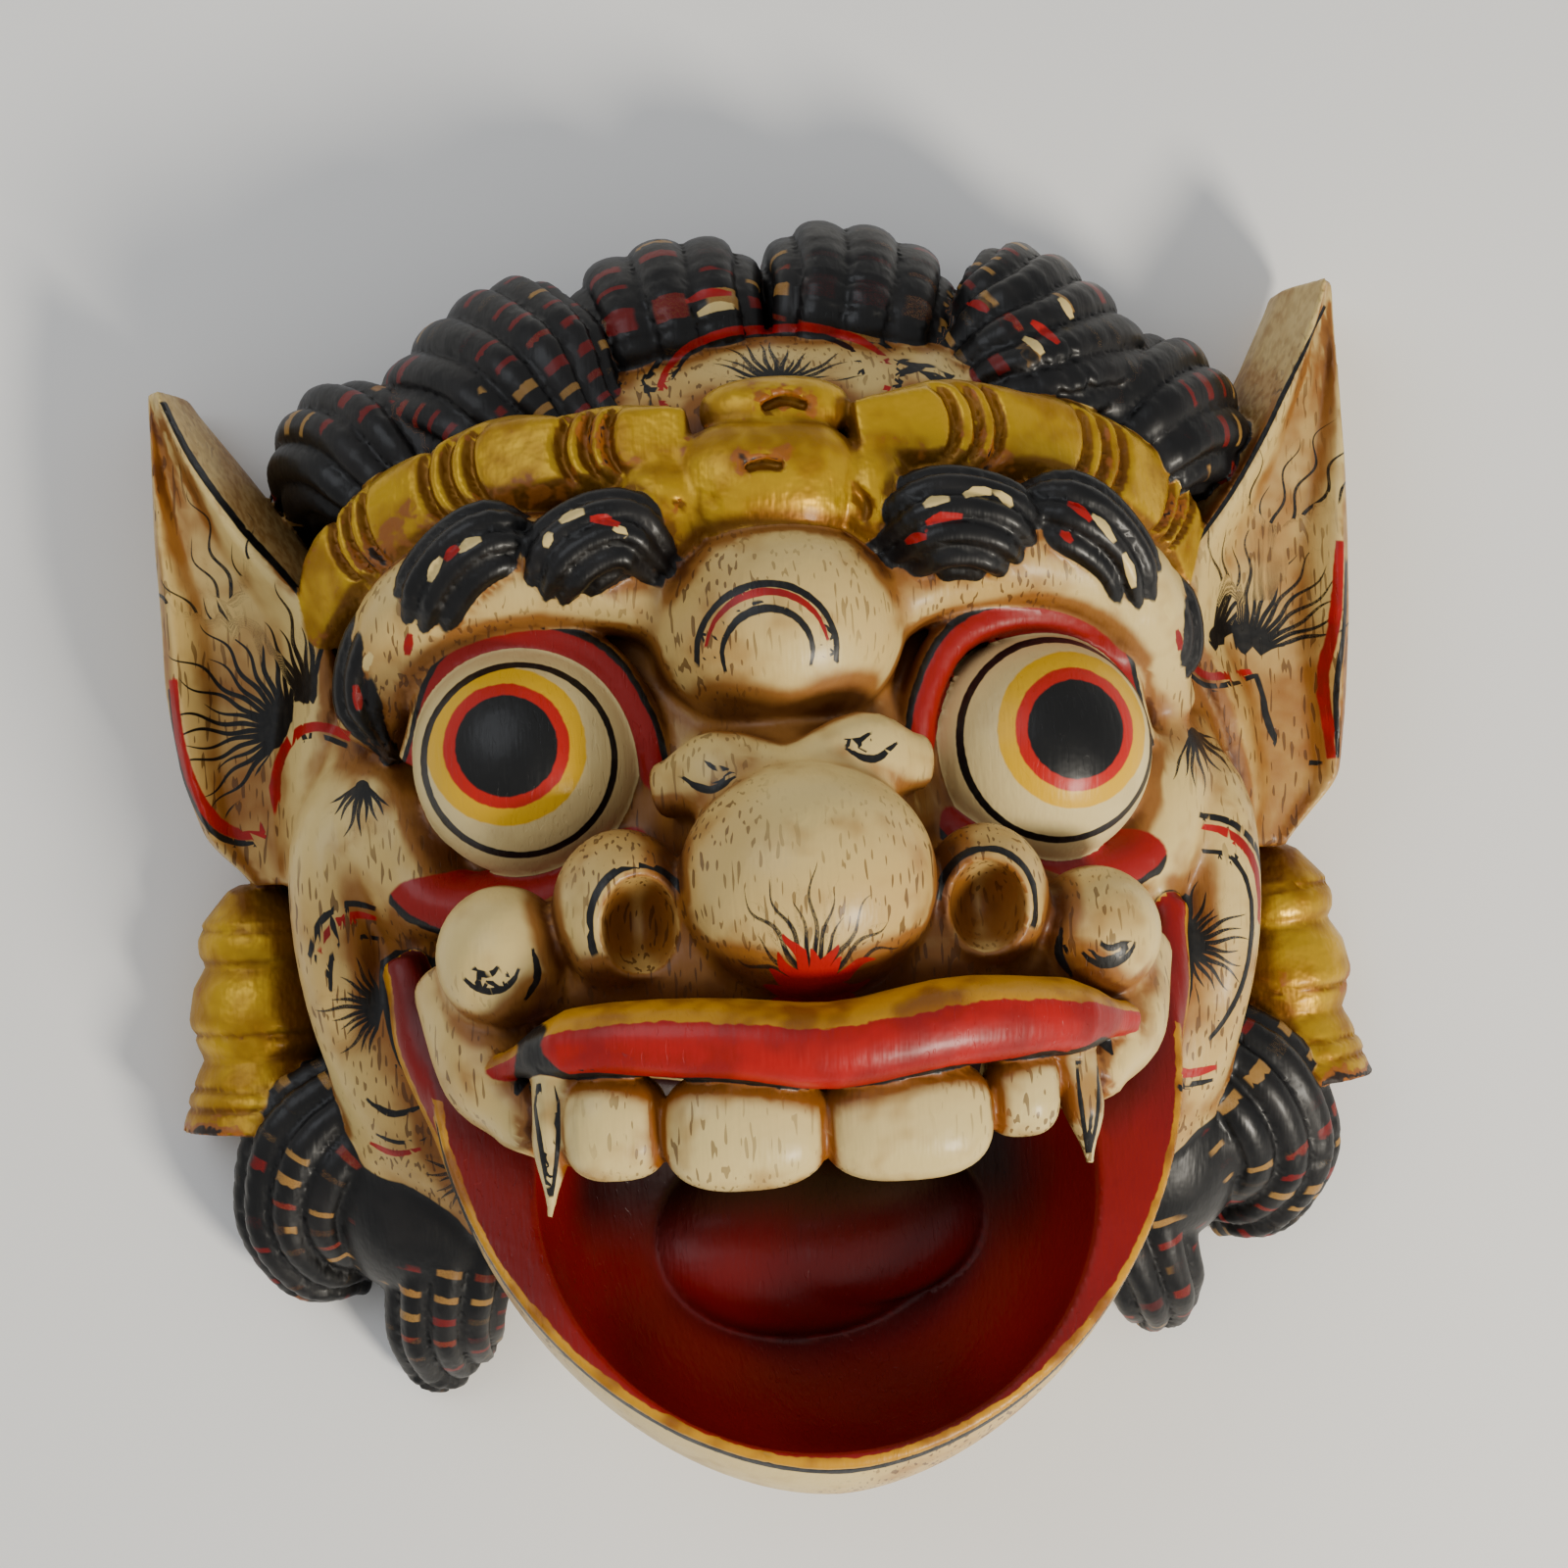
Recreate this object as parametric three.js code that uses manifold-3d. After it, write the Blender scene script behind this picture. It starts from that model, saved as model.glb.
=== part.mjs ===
// A barong mask: one block of carved wood, hollow at the back, with fluted hair tufts, leaf-shaped ears,
// a scalloped crown band, bulging eyes, a bulbous nose, a row of big teeth over a wide scooped jaw,
// and a bell-shaped pendant below each ear.
//
// Millimetres. The mask lies on its back: +Z is out of the face, +Y is up the face, +X is to the right
// of someone looking at the face. Forms are first laid out about the nose line with the flat back at z = 0,
// and the finished solid is then centred on the origin.

import * as THREE from 'three';
import { mergeVertices } from 'three/addons/utils/BufferGeometryUtils.js';
import Module from 'manifold-3d';

const wasm = await Module();
wasm.setup();

// ---------------------------------------------------------------- driving dimensions

const HEAD_HALF_WIDTH = 137;      // the head shell at the temples
const HEAD_DEPTH = 95;            // the head shell's height over the back plane
const FACE_DEPTH = 120;           // the middle of the face, below the brows
const RIM_HEIGHT_AT_MOUTH = 92;   // the jaw's rim at the mouth corners
const RIM_CLIMB = 0.4;            // how much the rim climbs for each millimetre towards the chin
const MOUTH_CORNER_Y = -31;
const THROAT_Y = -138;            // where the underside of the jaw meets the back plane
const THROAT_TILT = -1.0;         // the slope of that underside, in radians
const EYE_RADIUS = 34;
const BULB_RADIUS = 37;
const NOSE_RADIUS = 36;
const FLUTE_DEPTH = 3.2;          // the grooves in hair and brows
const BAND_THICKNESS = 17;
const BAND_GROOVE_DEPTH = 4.5;
const SCALLOP_DEPTH = 5;          // the crown band's scalloped upper edge
const EAR_THICKNESS = 24;
const PENDANT_LENGTH = 76;
const STRAND_STEPS = 6;           // stations along a strand
const MOST_TRIANGLES = 9600;
const THIN_STEP = 0.05;           // how fast the allowance for thinning the skin grows
const SLIVER_AREA = 0.02;         // the least area a thinned face may have, doubled
const BAND_BOW = 5;               // how far the ends of a crown groove bend towards the nose line
const CUT_REACH = 600;            // larger than the mask, for cutting planes
const HAIR_ROOT = new THREE.Vector3(0, 50, 0);   // the hair faces away from here

// ---------------------------------------------------------------- solids from meshes

/** A manifold solid from a closed BufferGeometry. */
function toSolid(geometry) {
  const bare = geometry.index ? geometry : geometry.clone();
  bare.deleteAttribute('normal');
  bare.deleteAttribute('uv');
  const merged = mergeVertices(bare, 1e-4);
  return new wasm.Manifold(new wasm.Mesh({
    numProp: 3,
    vertProperties: new Float32Array(merged.attributes.position.array),
    triVerts: new Uint32Array(merged.index.array),
  }));
}

/** A BufferGeometry from a manifold solid. */
function toGeometry(solid) {
  const { vertProperties, triVerts } = solid.getMesh();
  const geometry = new THREE.BufferGeometry();
  geometry.setAttribute('position', new THREE.BufferAttribute(vertProperties, 3));
  geometry.setIndex(new THREE.BufferAttribute(triVerts, 1));
  geometry.computeVertexNormals();
  return geometry;
}

/** Fills the pockets sealed in between forms: of all the closed skins, only the largest stays. */
function fillPockets(geometry) {
  const { position } = geometry.attributes;
  const corners = Array.from(geometry.index.array);
  const leader = Array.from({ length: position.count }, (_, v) => v);
  const find = (v) => {
    let top = v;
    while (leader[top] !== top) top = leader[top];
    leader[v] = top;
    return top;
  };
  for (let i = 0; i < corners.length; i += 3) {
    leader[find(corners[i + 1])] = find(corners[i]);
    leader[find(corners[i + 2])] = find(corners[i]);
  }
  const sizes = new Map();
  corners.forEach((v) => sizes.set(find(v), (sizes.get(find(v)) ?? 0) + 1));
  const [[largest]] = [...sizes].sort((a, b) => b[1] - a[1]);
  const filled = new THREE.BufferGeometry();
  filled.setAttribute('position', position);
  filled.setIndex(corners.filter((_, i) => find(corners[i - (i % 3)]) === largest));
  return toGeometry(toSolid(filled));
}

/**
 * Thins a closed skin: joins leave slivers where forms meet, and a vertex is folded into a neighbour
 * where that stays within a hair of every plane the two answer for. The skin stays closed,
 * and the flat back stays flat. The allowance grows until at most `most` triangles are left.
 */
function thin(geometry, most) {
  const points = [];
  for (let i = 0; i < geometry.attributes.position.count; i += 1) {
    points.push(new THREE.Vector3().fromBufferAttribute(geometry.attributes.position, i));
  }
  const faces = new Map();
  const around = points.map(() => new Set());
  const planes = points.map(() => []);
  const normalOf = ([a, b, c]) => new THREE.Vector3()
    .crossVectors(points[b].clone().sub(points[a]), points[c].clone().sub(points[a]));
  for (let f = 0; f < geometry.index.count / 3; f += 1) {
    const corners = [0, 1, 2].map((k) => geometry.index.getX(3 * f + k));
    faces.set(f, corners);
    const normal = normalOf(corners).normalize();
    const plane = new THREE.Plane().setFromNormalAndCoplanarPoint(normal, points[corners[0]]);
    corners.forEach((v) => {
      around[v].add(f);
      planes[v].push(plane);
    });
  }
  const neighbours = (v) => new Set([...around[v]].flatMap((f) => faces.get(f)).filter((n) => n !== v));
  const onBack = (v) => points[v].z < 1e-4;

  const canFold = (from, to, ring) => {
    if (onBack(from) && !onBack(to)) return false;
    if ([...neighbours(to)].filter((v) => ring.has(v)).length !== 2) return false;
    return [...around[from]].every((f) => {
      const corners = faces.get(f);
      if (corners.includes(to)) return true;
      const before = normalOf(corners);
      const after = normalOf(corners.map((v) => (v === from ? to : v)));
      return after.length() > SLIVER_AREA && before.dot(after) > 0.5 * before.length() * after.length();
    });
  };
  const fold = (from, to) => {
    for (const f of around[from]) {
      const corners = faces.get(f);
      if (corners.includes(to)) {
        corners.forEach((v) => v !== from && around[v].delete(f));
        faces.delete(f);
      } else {
        faces.set(f, corners.map((v) => (v === from ? to : v)));
        around[to].add(f);
      }
    }
    around[from].clear();
    planes[to].push(...planes[from]);
  };

  for (let give = THIN_STEP; faces.size > most; give += THIN_STEP) {
    for (let v = 0; v < points.length && faces.size > most; v += 1) {
      if (around[v].size) {
        const ring = neighbours(v);
        const cost = (to) => Math.max(...planes[v].map((p) => Math.abs(p.distanceToPoint(points[to]))));
        const [best] = [...ring].map((to) => ({ to, cost: cost(to) }))
          .filter((choice) => choice.cost < give && canFold(v, choice.to, ring))
          .sort((a, b) => a.cost - b.cost);
        if (best) fold(v, best.to);
      }
    }
  }
  const thinned = new THREE.BufferGeometry().setFromPoints(points);
  thinned.setIndex([...faces.values()].flat());
  return toGeometry(toSolid(thinned));
}

/** All of a list of solids in one. */
function join(solids) {
  return solids.reduce((whole, solid) => whole.add(solid));
}

// ---------------------------------------------------------------- the carver's forms

/** A rounded mass: `square` above 1 makes it boxier across, `slab` above 1 makes it boxier in depth. */
function mass({ centre, radii, turn = [0, 0, 0], square = 1, slab = 1, around = 14, over = 8 }) {
  const sphere = new THREE.SphereGeometry(1, around, over);
  sphere.rotateX(Math.PI / 2);
  const place = sphere.attributes.position;
  const pull = (value, power) => Math.sign(value) * Math.abs(value) ** power;
  for (let i = 0; i < place.count; i += 1) {
    const [x, y, z] = [place.getX(i), place.getY(i), place.getZ(i)];
    const flat = Math.hypot(x, y) || 1;
    const reach = pull(Math.min(flat, 1), 1 / slab);
    place.setXYZ(
      i,
      radii[0] * reach * pull(x / flat, 1 / square),
      radii[1] * reach * pull(y / flat, 1 / square),
      radii[2] * pull(z, 1 / slab),
    );
  }
  const angles = turn.map(THREE.MathUtils.degToRad);
  sphere.applyMatrix4(new THREE.Matrix4().makeRotationFromEuler(new THREE.Euler(...angles)));
  sphere.translate(...centre);
  return toSolid(sphere);
}

/** A closed skin over a run of rings with the same number of points, with a flat fan at each end. */
function loft(rings) {
  const size = rings[0].length;
  const points = rings.flat();
  const faces = [];
  for (let ring = 0; ring + 1 < rings.length; ring += 1) {
    for (let i = 0; i < size; i += 1) {
      const a = ring * size + i;
      const b = ring * size + (i + 1) % size;
      faces.push(a, b, b + size, a, b + size, a + size);
    }
  }
  for (const [ring, turned] of [[0, true], [rings.length - 1, false]]) {
    const middle = new THREE.Vector3();
    rings[ring].forEach((point) => middle.addScaledVector(point, 1 / size));
    points.push(middle);
    for (let i = 0; i < size; i += 1) {
      const a = ring * size + i;
      const b = ring * size + (i + 1) % size;
      faces.push(...(turned ? [b, a, points.length - 1] : [a, b, points.length - 1]));
    }
  }
  const geometry = new THREE.BufferGeometry().setFromPoints(points);
  geometry.setIndex(faces);
  return toSolid(geometry);
}

/** A value read along a list of evenly spaced settings, eased between them. */
function along(settings, t) {
  const place = t * (settings.length - 1);
  const low = Math.min(Math.floor(place), settings.length - 2);
  const part = THREE.MathUtils.smoothstep(place - low, 0, 1);
  return THREE.MathUtils.lerp(settings[low], settings[low + 1], part);
}

/**
 * A lock, lip, lid or lobe: a swept form whose front is a low arch, `flutes` ridges wide.
 * `path` runs along its middle, `widths` and `depths` are its size at even steps along the path,
 * and `out` is the way its front faces, for the whole strand or as a function of a place on it.
 */
function strand({ path, widths, depths, out, flutes = 0, groove = FLUTE_DEPTH, steps = STRAND_STEPS }) {
  const curve = new THREE.CatmullRomCurve3(path.map((point) => new THREE.Vector3(...point)));
  const frontPoints = flutes ? flutes * 2 : 6;
  const backPoints = 4;
  const rings = [];
  for (let station = 0; station <= steps; station += 1) {
    const t = station / steps;
    const middle = curve.getPoint(t);
    const tangent = curve.getTangent(t);
    const facing = typeof out === 'function' ? out(middle) : new THREE.Vector3(...out);
    const across = new THREE.Vector3().crossVectors(tangent, facing).normalize();
    const front = new THREE.Vector3().crossVectors(across, tangent).normalize();
    const halfWidth = along(widths, t) / 2;
    const halfDepth = along(depths, t) / 2;
    const cut = flutes ? Math.min(groove, halfDepth * 0.5) : 0;
    const ring = [];
    for (let i = 0; i <= frontPoints; i += 1) {
      const angle = Math.PI * (i / frontPoints);
      const valley = flutes && i % 2 === 0 ? cut : 0;
      ring.push(middle.clone()
        .addScaledVector(across, Math.cos(angle) * (halfWidth - valley * 0.5))
        .addScaledVector(front, Math.sin(angle) ** 0.7 * (halfDepth * 1.3 - valley)));
    }
    for (let i = 1; i < backPoints; i += 1) {
      const angle = Math.PI * (1 + i / backPoints);
      ring.push(middle.clone()
        .addScaledVector(across, Math.cos(angle) * halfWidth)
        .addScaledVector(front, Math.sin(angle) * halfDepth));
    }
    rings.push(ring.reverse());
  }
  return loft(rings);
}

/** The half space above a tilted plane, or below it. */
function halfSpace({ through, tilt = [0, 0, 0], below = false }) {
  const block = new THREE.BoxGeometry(CUT_REACH, CUT_REACH, CUT_REACH);
  block.translate(0, 0, (below ? -1 : 1) * CUT_REACH / 2);
  block.applyMatrix4(new THREE.Matrix4().makeRotationFromEuler(new THREE.Euler(...tilt)));
  block.translate(...through);
  return toSolid(block);
}

// ---------------------------------------------------------------- head, jaw and mouth

function headShell() {
  const skull = mass({ centre: [0, 55, 0], radii: [HEAD_HALF_WIDTH, 112, HEAD_DEPTH], slab: 1.15,
    around: 24, over: 10 });
  const face = mass({ centre: [2, 10, 30], radii: [118, 95, FACE_DEPTH - 30], around: 20, over: 12 });
  const dome = mass({ centre: [14, 110, 52], radii: [96, 48, 46], around: 18, over: 10 });
  const hairBed = mass({ centre: [4, 92, 26], radii: [128, 78, 52], around: 24, over: 10 });
  const cheekBeds = [-1, 1].map((side) => mass({
    centre: [3 + side * 108, -42, 28], radii: [32, 60, 54], turn: [0, 0, side * 12], around: 16,
  }));
  const napes = [-1, 1].map((side) => mass({ centre: [3 + side * 112, -92, 20], radii: [36, 42, 36] }));
  const temples = [-1, 1].map((side) => mass({ centre: [side * 116, 18, 30], radii: [31, 62, 36] }));
  return join([skull, face, dome, hairBed, ...cheekBeds, ...napes, ...temples]);
}

/** The lower jaw: a deep scoop, pointed towards the chin, its rim climbing to the chin. */
function jawBlock() {
  const block = mass({ centre: [4, -62, 74], radii: [110, 124, 98], square: 0.9, slab: 1.7,
    around: 28, over: 12 });
  const throat = halfSpace({ through: [0, THROAT_Y, 0], tilt: [THROAT_TILT, 0, 0], below: true });
  const aboveRim = halfSpace({
    through: [0, MOUTH_CORNER_Y, RIM_HEIGHT_AT_MOUTH],
    tilt: [-Math.atan(RIM_CLIMB), 0, 0],
  });
  return block.subtract(aboveRim).subtract(throat);
}

/** The flat bands of the jaw that run up to the corners of the mouth. */
function jawBands() {
  return [
    [[-112, -28, 80], [-106, -52, 88], [-95, -76, 94], [-86, -98, 102], [-80, -116, 108]],
    [[116, -24, 78], [110, -50, 86], [101, -76, 94], [94, -98, 102], [86, -116, 108]],
  ].map((path) => strand({ path, widths: [12, 18, 20, 18, 10], depths: [14, 20, 20, 20, 12],
    out: [0, -0.2, 1] }));
}

function mouthCavity() {
  return mass({ centre: [3, -86, 128], radii: [82, 83, 66], around: 26, over: 14 });
}

function tongue() {
  return join([
    mass({ centre: [-2, -116, 66], radii: [50, 32, 22], turn: [-30, 0, 0], around: 18 }),
    mass({ centre: [22, -113, 76], radii: [38, 24, 15], turn: [-30, 0, 12], around: 18 }),
  ]);
}

// ---------------------------------------------------------------- muzzle

function muzzle() {
  const snout = mass({ centre: [2, -30, 78], radii: [96, 38, 76], slab: 1.15, around: 20 });
  const bridge = mass({ centre: [2, 6, 104], radii: [40, 40, 40] });
  const fold = strand({
    path: [[-35, 20, 128], [-20, 23, 136], [0, 21, 138], [20, 26, 137], [37, 24, 128]],
    widths: [16, 26, 20, 26, 16], depths: [10, 18, 16, 18, 10], out: [0, 0.2, 1],
  });
  const bulb = mass({ centre: [1, 65, 108], radii: [BULB_RADIUS, 32, BULB_RADIUS],
    around: 20, over: 12 });
  const nose = mass({ centre: [2, -7, 148], radii: [NOSE_RADIUS, 33, NOSE_RADIUS],
    around: 20, over: 12 });
  const walls = [
    [[-94, -34, 106], [-88, -56, 118], [-78, -70, 128], [-72, -82, 128]],
    [[96, -36, 104], [90, -54, 118], [80, -66, 130], [74, -76, 130]],
  ].map((path) => strand({ path, widths: [30, 30, 22, 6], depths: [26, 30, 26, 6], out: [0, 0, 1] }));
  return join([snout, bridge, fold, bulb, nose, ...walls]);
}

/** Nostril wings with their hollows, and the round knobs of the cheeks beside them. */
function nostrils() {
  const sides = [
    { wing: [-49, -13, 136], wingRadii: [20, 23, 23], hole: [-45, -17, 162], holeRadii: [10.5, 13, 15],
      knob: [-83, -24, 128], knobRadii: [19, 20, 21] },
    { wing: [53, -15, 136], wingRadii: [18, 21, 23], hole: [51, -17, 161], holeRadii: [10, 12, 15],
      knob: [85, -27, 128], knobRadii: [19, 19, 21] },
  ];
  return sides.map(({ wing, wingRadii, hole, holeRadii, knob, knobRadii }) => ({
    raised: join([
      mass({ centre: wing, radii: wingRadii }),
      mass({ centre: knob, radii: knobRadii }),
    ]),
    hole: mass({ centre: hole, radii: holeRadii, around: 12, over: 8 }),
  }));
}

function upperLip() {
  return strand({
    path: [[-87, -55, 136], [-62, -47, 156], [-24, -48, 169], [4, -51, 173], [38, -47, 168],
      [68, -48, 155], [91, -51, 138]],
    widths: [6, 19, 22, 23, 24, 21, 8],
    depths: [6, 18, 21, 22, 22, 20, 8],
    out: [0, -0.15, 1],
    steps: 12,
  });
}

function teeth() {
  const row = [
    { centre: [-55, -71, 154], radii: [15, 15, 14] },
    { centre: [-20, -73, 162], radii: [23, 17, 15] },
    { centre: [24, -73, 162], radii: [24, 17, 15] },
    { centre: [57, -68, 154], radii: [11, 13, 13] },
  ].map((tooth) => mass({ ...tooth, square: 1.35, slab: 1.2 }));
  const fangs = [
    [[-68, -52, 146], [-72, -72, 150], [-74, -95, 147]],
    [[70, -52, 146], [75, -72, 149], [77, -91, 146]],
  ].map((path) => strand({ path, widths: [18, 12, 2], depths: [18, 12, 2], out: [0, 0, 1], steps: 4 }));
  return [...row, ...fangs];
}

// ---------------------------------------------------------------- eyes and brows

function eyes() {
  const balls = [[-72, 31, 98], [76, 26, 98]].map((centre) => (
    mass({ centre, radii: [EYE_RADIUS, EYE_RADIUS, EYE_RADIUS], around: 20, over: 12 })
  ));
  const lowerLids = [
    [[-118, 7, 74], [-103, -8, 84], [-78, -11, 94], [-52, -1, 106], [-38, 12, 108]],
    [[121, 10, 72], [104, -7, 84], [79, -12, 94], [56, -2, 106], [42, 13, 108]],
  ].map((path) => strand({ path, widths: [4, 17, 22, 18, 8], depths: [6, 18, 22, 20, 8],
    out: [0, -0.3, 1], steps: 8 }));
  const upperLids = [
    [[-106, 34, 86], [-94, 60, 96], [-72, 67, 104], [-50, 58, 108], [-38, 36, 110], [-36, 12, 108]],
    [[110, 28, 84], [99, 58, 92], [76, 66, 102], [52, 60, 108], [40, 38, 110], [39, 14, 108]],
  ].map((path) => strand({ path, widths: [8, 11, 12, 12, 11, 8], depths: [8, 11, 12, 12, 11, 8],
    out: [0, 0, 1], steps: 9 }));
  return [...balls, ...lowerLids, ...upperLids];
}

/** The skin ridge over each eye, with three black lobes of hair flowing outwards and down on it. */
function brows() {
  const ridges = [
    [[-116, 46, 66], [-100, 74, 84], [-66, 84, 100], [-34, 76, 104]],
    [[118, 40, 66], [104, 72, 84], [70, 84, 100], [37, 74, 104]],
  ].map((path) => strand({ path, widths: [24, 36, 36, 26], depths: [24, 36, 36, 26], out: [0, 0, 1] }));
  const lobes = [
    { path: [[-32, 84, 112], [-44, 93, 118], [-58, 88, 118], [-68, 72, 110]], widths: [18, 28, 28, 12],
      flutes: 5 },
    { path: [[-66, 92, 106], [-81, 92, 110], [-94, 82, 104], [-103, 63, 94]], widths: [14, 28, 28, 10],
      flutes: 5 },
    { path: [[-101, 80, 88], [-113, 69, 82], [-119, 52, 76], [-112, 33, 76]], widths: [12, 22, 20, 5],
      flutes: 4 },
    { path: [[34, 86, 110], [48, 92, 117], [62, 90, 118], [76, 80, 110]], widths: [26, 34, 32, 20],
      flutes: 6 },
    { path: [[70, 95, 106], [86, 92, 109], [101, 80, 102], [110, 56, 92]], widths: [16, 30, 26, 10],
      flutes: 5 },
    { path: [[110, 80, 86], [120, 68, 80], [123, 54, 76], [114, 37, 78]], widths: [10, 18, 17, 5],
      flutes: 3 },
  ].map((lobe) => strand({ ...lobe, depths: [16, 26, 24, 8], out: [0, 0, 1], groove: 2.6 }));
  return [...ridges, ...lobes];
}

// ---------------------------------------------------------------- cheeks

function cheeks() {
  const flanges = [
    [[-122, 34, 50], [-131, 6, 58], [-130, -28, 58], [-122, -58, 54], [-108, -82, 50], [-92, -104, 46]],
    [[128, 26, 50], [134, 2, 58], [134, -30, 58], [128, -58, 54], [116, -84, 50], [102, -106, 46]],
  ].map((path) => strand({ path, widths: [20, 28, 28, 28, 24, 16], depths: [24, 32, 32, 30, 26, 16],
    out: [0, 0, 1], steps: 8 }));
  const cheekbones = [
    mass({ centre: [-108, 2, 64], radii: [20, 36, 28], turn: [0, 0, 22] }),
    mass({ centre: [112, 2, 64], radii: [20, 36, 28], turn: [0, 0, -18] }),
  ];
  return [...flanges, ...cheekbones];
}

// ---------------------------------------------------------------- crown

/**
 * The gilded band on one side: it bends round the forehead, its upper edge runs in scallops,
 * and groups of three curved grooves part it into lobes.
 */
function crownBand({ path, widths, groups, scallops, side }) {
  const curve = new THREE.CatmullRomCurve3(path.map((point) => new THREE.Vector3(...point)));
  const steps = 42;
  const groovePitch = 2 / steps;
  const rings = [];
  for (let station = 0; station <= steps; station += 1) {
    const t = station / steps;
    const middle = curve.getPoint(t);
    const tangent = curve.getTangent(t);
    const out = new THREE.Vector3(middle.x * 0.35, 30, 90).normalize();
    const across = new THREE.Vector3().crossVectors(out, tangent).normalize().multiplyScalar(-side);
    const front = out.clone().addScaledVector(tangent, -out.dot(tangent)).normalize();
    const inGroove = groups.some((group) => [-1, 0, 1].some(
      (line) => Math.abs(t - group - line * groovePitch) <= 0.5 / steps,
    ));
    const scallop = SCALLOP_DEPTH * (1 - Math.abs(Math.sin(Math.PI * scallops * t)));
    const top = along(widths, t) / 2 - scallop;
    const bottom = -along(widths, t) / 2;
    const face = BAND_THICKNESS / 2 - (inGroove ? BAND_GROOVE_DEPTH : 0);
    const profile = [[bottom, -14], [bottom, face * 0.3], [bottom * 0.5, face], [top * 0.5, face],
      [top, face * 0.3], [top, -14]];
    const ring = profile.map(([height, depth]) => middle.clone()
      .addScaledVector(across, height)
      .addScaledVector(tangent, BAND_BOW * (height / top) ** 2)
      .addScaledVector(front, depth));
    rings.push(side > 0 ? ring : ring.reverse());
  }
  return loft(rings);
}

function crown() {
  const left = crownBand({
    path: [[-130, 76, 54], [-122, 92, 66], [-104, 104, 80], [-78, 115, 94], [-50, 118, 104], [-24, 120, 108]],
    widths: [20, 30, 34, 32, 28, 24], groups: [0.28, 0.53, 0.8], scallops: 4, side: -1,
  });
  const right = crownBand({
    path: [[130, 80, 52], [124, 94, 62], [108, 106, 78], [84, 116, 92], [58, 120, 102], [28, 120, 108]],
    widths: [20, 30, 34, 32, 32, 24], groups: [0.22, 0.48, 0.78], scallops: 3, side: 1,
  });
  const centrepiece = [
    mass({ centre: [0, 106, 112], radii: [27, 19, 17], square: 1.4, around: 20 }),
    mass({ centre: [-30, 101, 109], radii: [15, 16, 14] }),
    mass({ centre: [30, 101, 109], radii: [12, 18, 14] }),
    mass({ centre: [-27, 92, 110], radii: [9, 10, 13] }),
    mass({ centre: [4, 128, 106], radii: [22, 10, 12], square: 1.2 }),
  ];
  return join([left, right, ...centrepiece]);
}

// ---------------------------------------------------------------- hair

function hair() {
  const tufts = [
    { path: [[-98, 106, 66], [-114, 124, 54], [-124, 128, 36], [-125, 121, 14], [-119, 110, -4]],
      widths: [34, 44, 46, 44, 38], flutes: 5 },
    { path: [[-54, 122, 78], [-70, 142, 66], [-82, 149, 46], [-85, 146, 22], [-83, 136, -4]],
      widths: [44, 66, 76, 72, 66], flutes: 7 },
    { path: [[-18, 142, 56], [-21, 158, 60], [-22, 168, 46], [-22, 165, 22], [-22, 152, -4]],
      widths: [48, 56, 62, 62, 58], flutes: 5 },
    { path: [[30, 142, 56], [35, 160, 60], [37, 170.2, 45], [37, 168, 20], [36, 154, -4]],
      widths: [48, 56, 62, 62, 58], flutes: 5 },
    { path: [[60, 134, 64], [84, 147, 66], [98, 152, 50], [102, 147, 24], [98, 137, -4]],
      widths: [40, 62, 74, 72, 66], flutes: 7 },
    { path: [[100, 110, 66], [122, 124, 58], [135, 127, 40], [137, 120, 18], [129, 108, -4]],
      widths: [38, 50, 56, 52, 46], flutes: 5 },
  ].map((tuft) => strand({ ...tuft, depths: [16, 28, 32, 30, 26],
    out: (middle) => middle.clone().sub(HAIR_ROOT) }));
  const lowerLocks = [
    { path: [[-118, -66, 34], [-140, -84, 32], [-147, -100, 26], [-144, -114, 14], [-134, -120, 0]],
      widths: [40, 52, 46, 40, 30], depths: [26, 30, 28, 26, 20], flutes: 6 },
    { path: [[-96, -96, 34], [-104, -122, 28], [-107, -140, 20], [-106, -150, 10], [-104, -152, 0]],
      widths: [34, 40, 38, 34, 30], depths: [28, 26, 22, 18, 14], flutes: 5 },
    { path: [[126, -66, 34], [144, -84, 34], [152, -100, 26], [150, -112, 14], [142, -118, 0]],
      widths: [40, 52, 52, 46, 36], depths: [26, 32, 30, 26, 20], flutes: 6 },
    { path: [[104, -98, 34], [110, -122, 28], [117, -142, 20], [120, -150, 10], [120, -152, 0]],
      widths: [32, 38, 32, 26, 22], depths: [28, 26, 22, 18, 14], flutes: 4 },
  ].map((lock) => strand({ ...lock, out: [0, 0, 1] }));
  return [...tufts, ...lowerLocks];
}

// ---------------------------------------------------------------- ears and pendants

/**
 * A leaf-shaped ear standing beside the head. Each level from lobe to tip has an outer edge,
 * a dished front, a raised front rim and a bevel that falls away towards the head.
 */
function ear({ side, levels }) {
  const back = 8;
  const rings = levels.map(({ y, outer, rim, inner, front, dish }) => {
    const x = (part) => side * THREE.MathUtils.lerp(outer, rim, part);
    const points = [
      [side * outer, front - EAR_THICKNESS - 4], [side * outer, front - 12], [x(0.06), front - 6],
      [x(0.3), front - 6 - dish], [x(0.65), front - 4 - dish], [x(0.92), front], [side * rim, front],
      [side * inner, front * 0.5], [side * inner, back], [x(0.7), back],
    ];
    return points.map(([px, pz]) => new THREE.Vector3(px, y, pz));
  });
  return loft(side > 0 ? rings.map((ring) => ring.reverse()) : rings);
}

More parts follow.
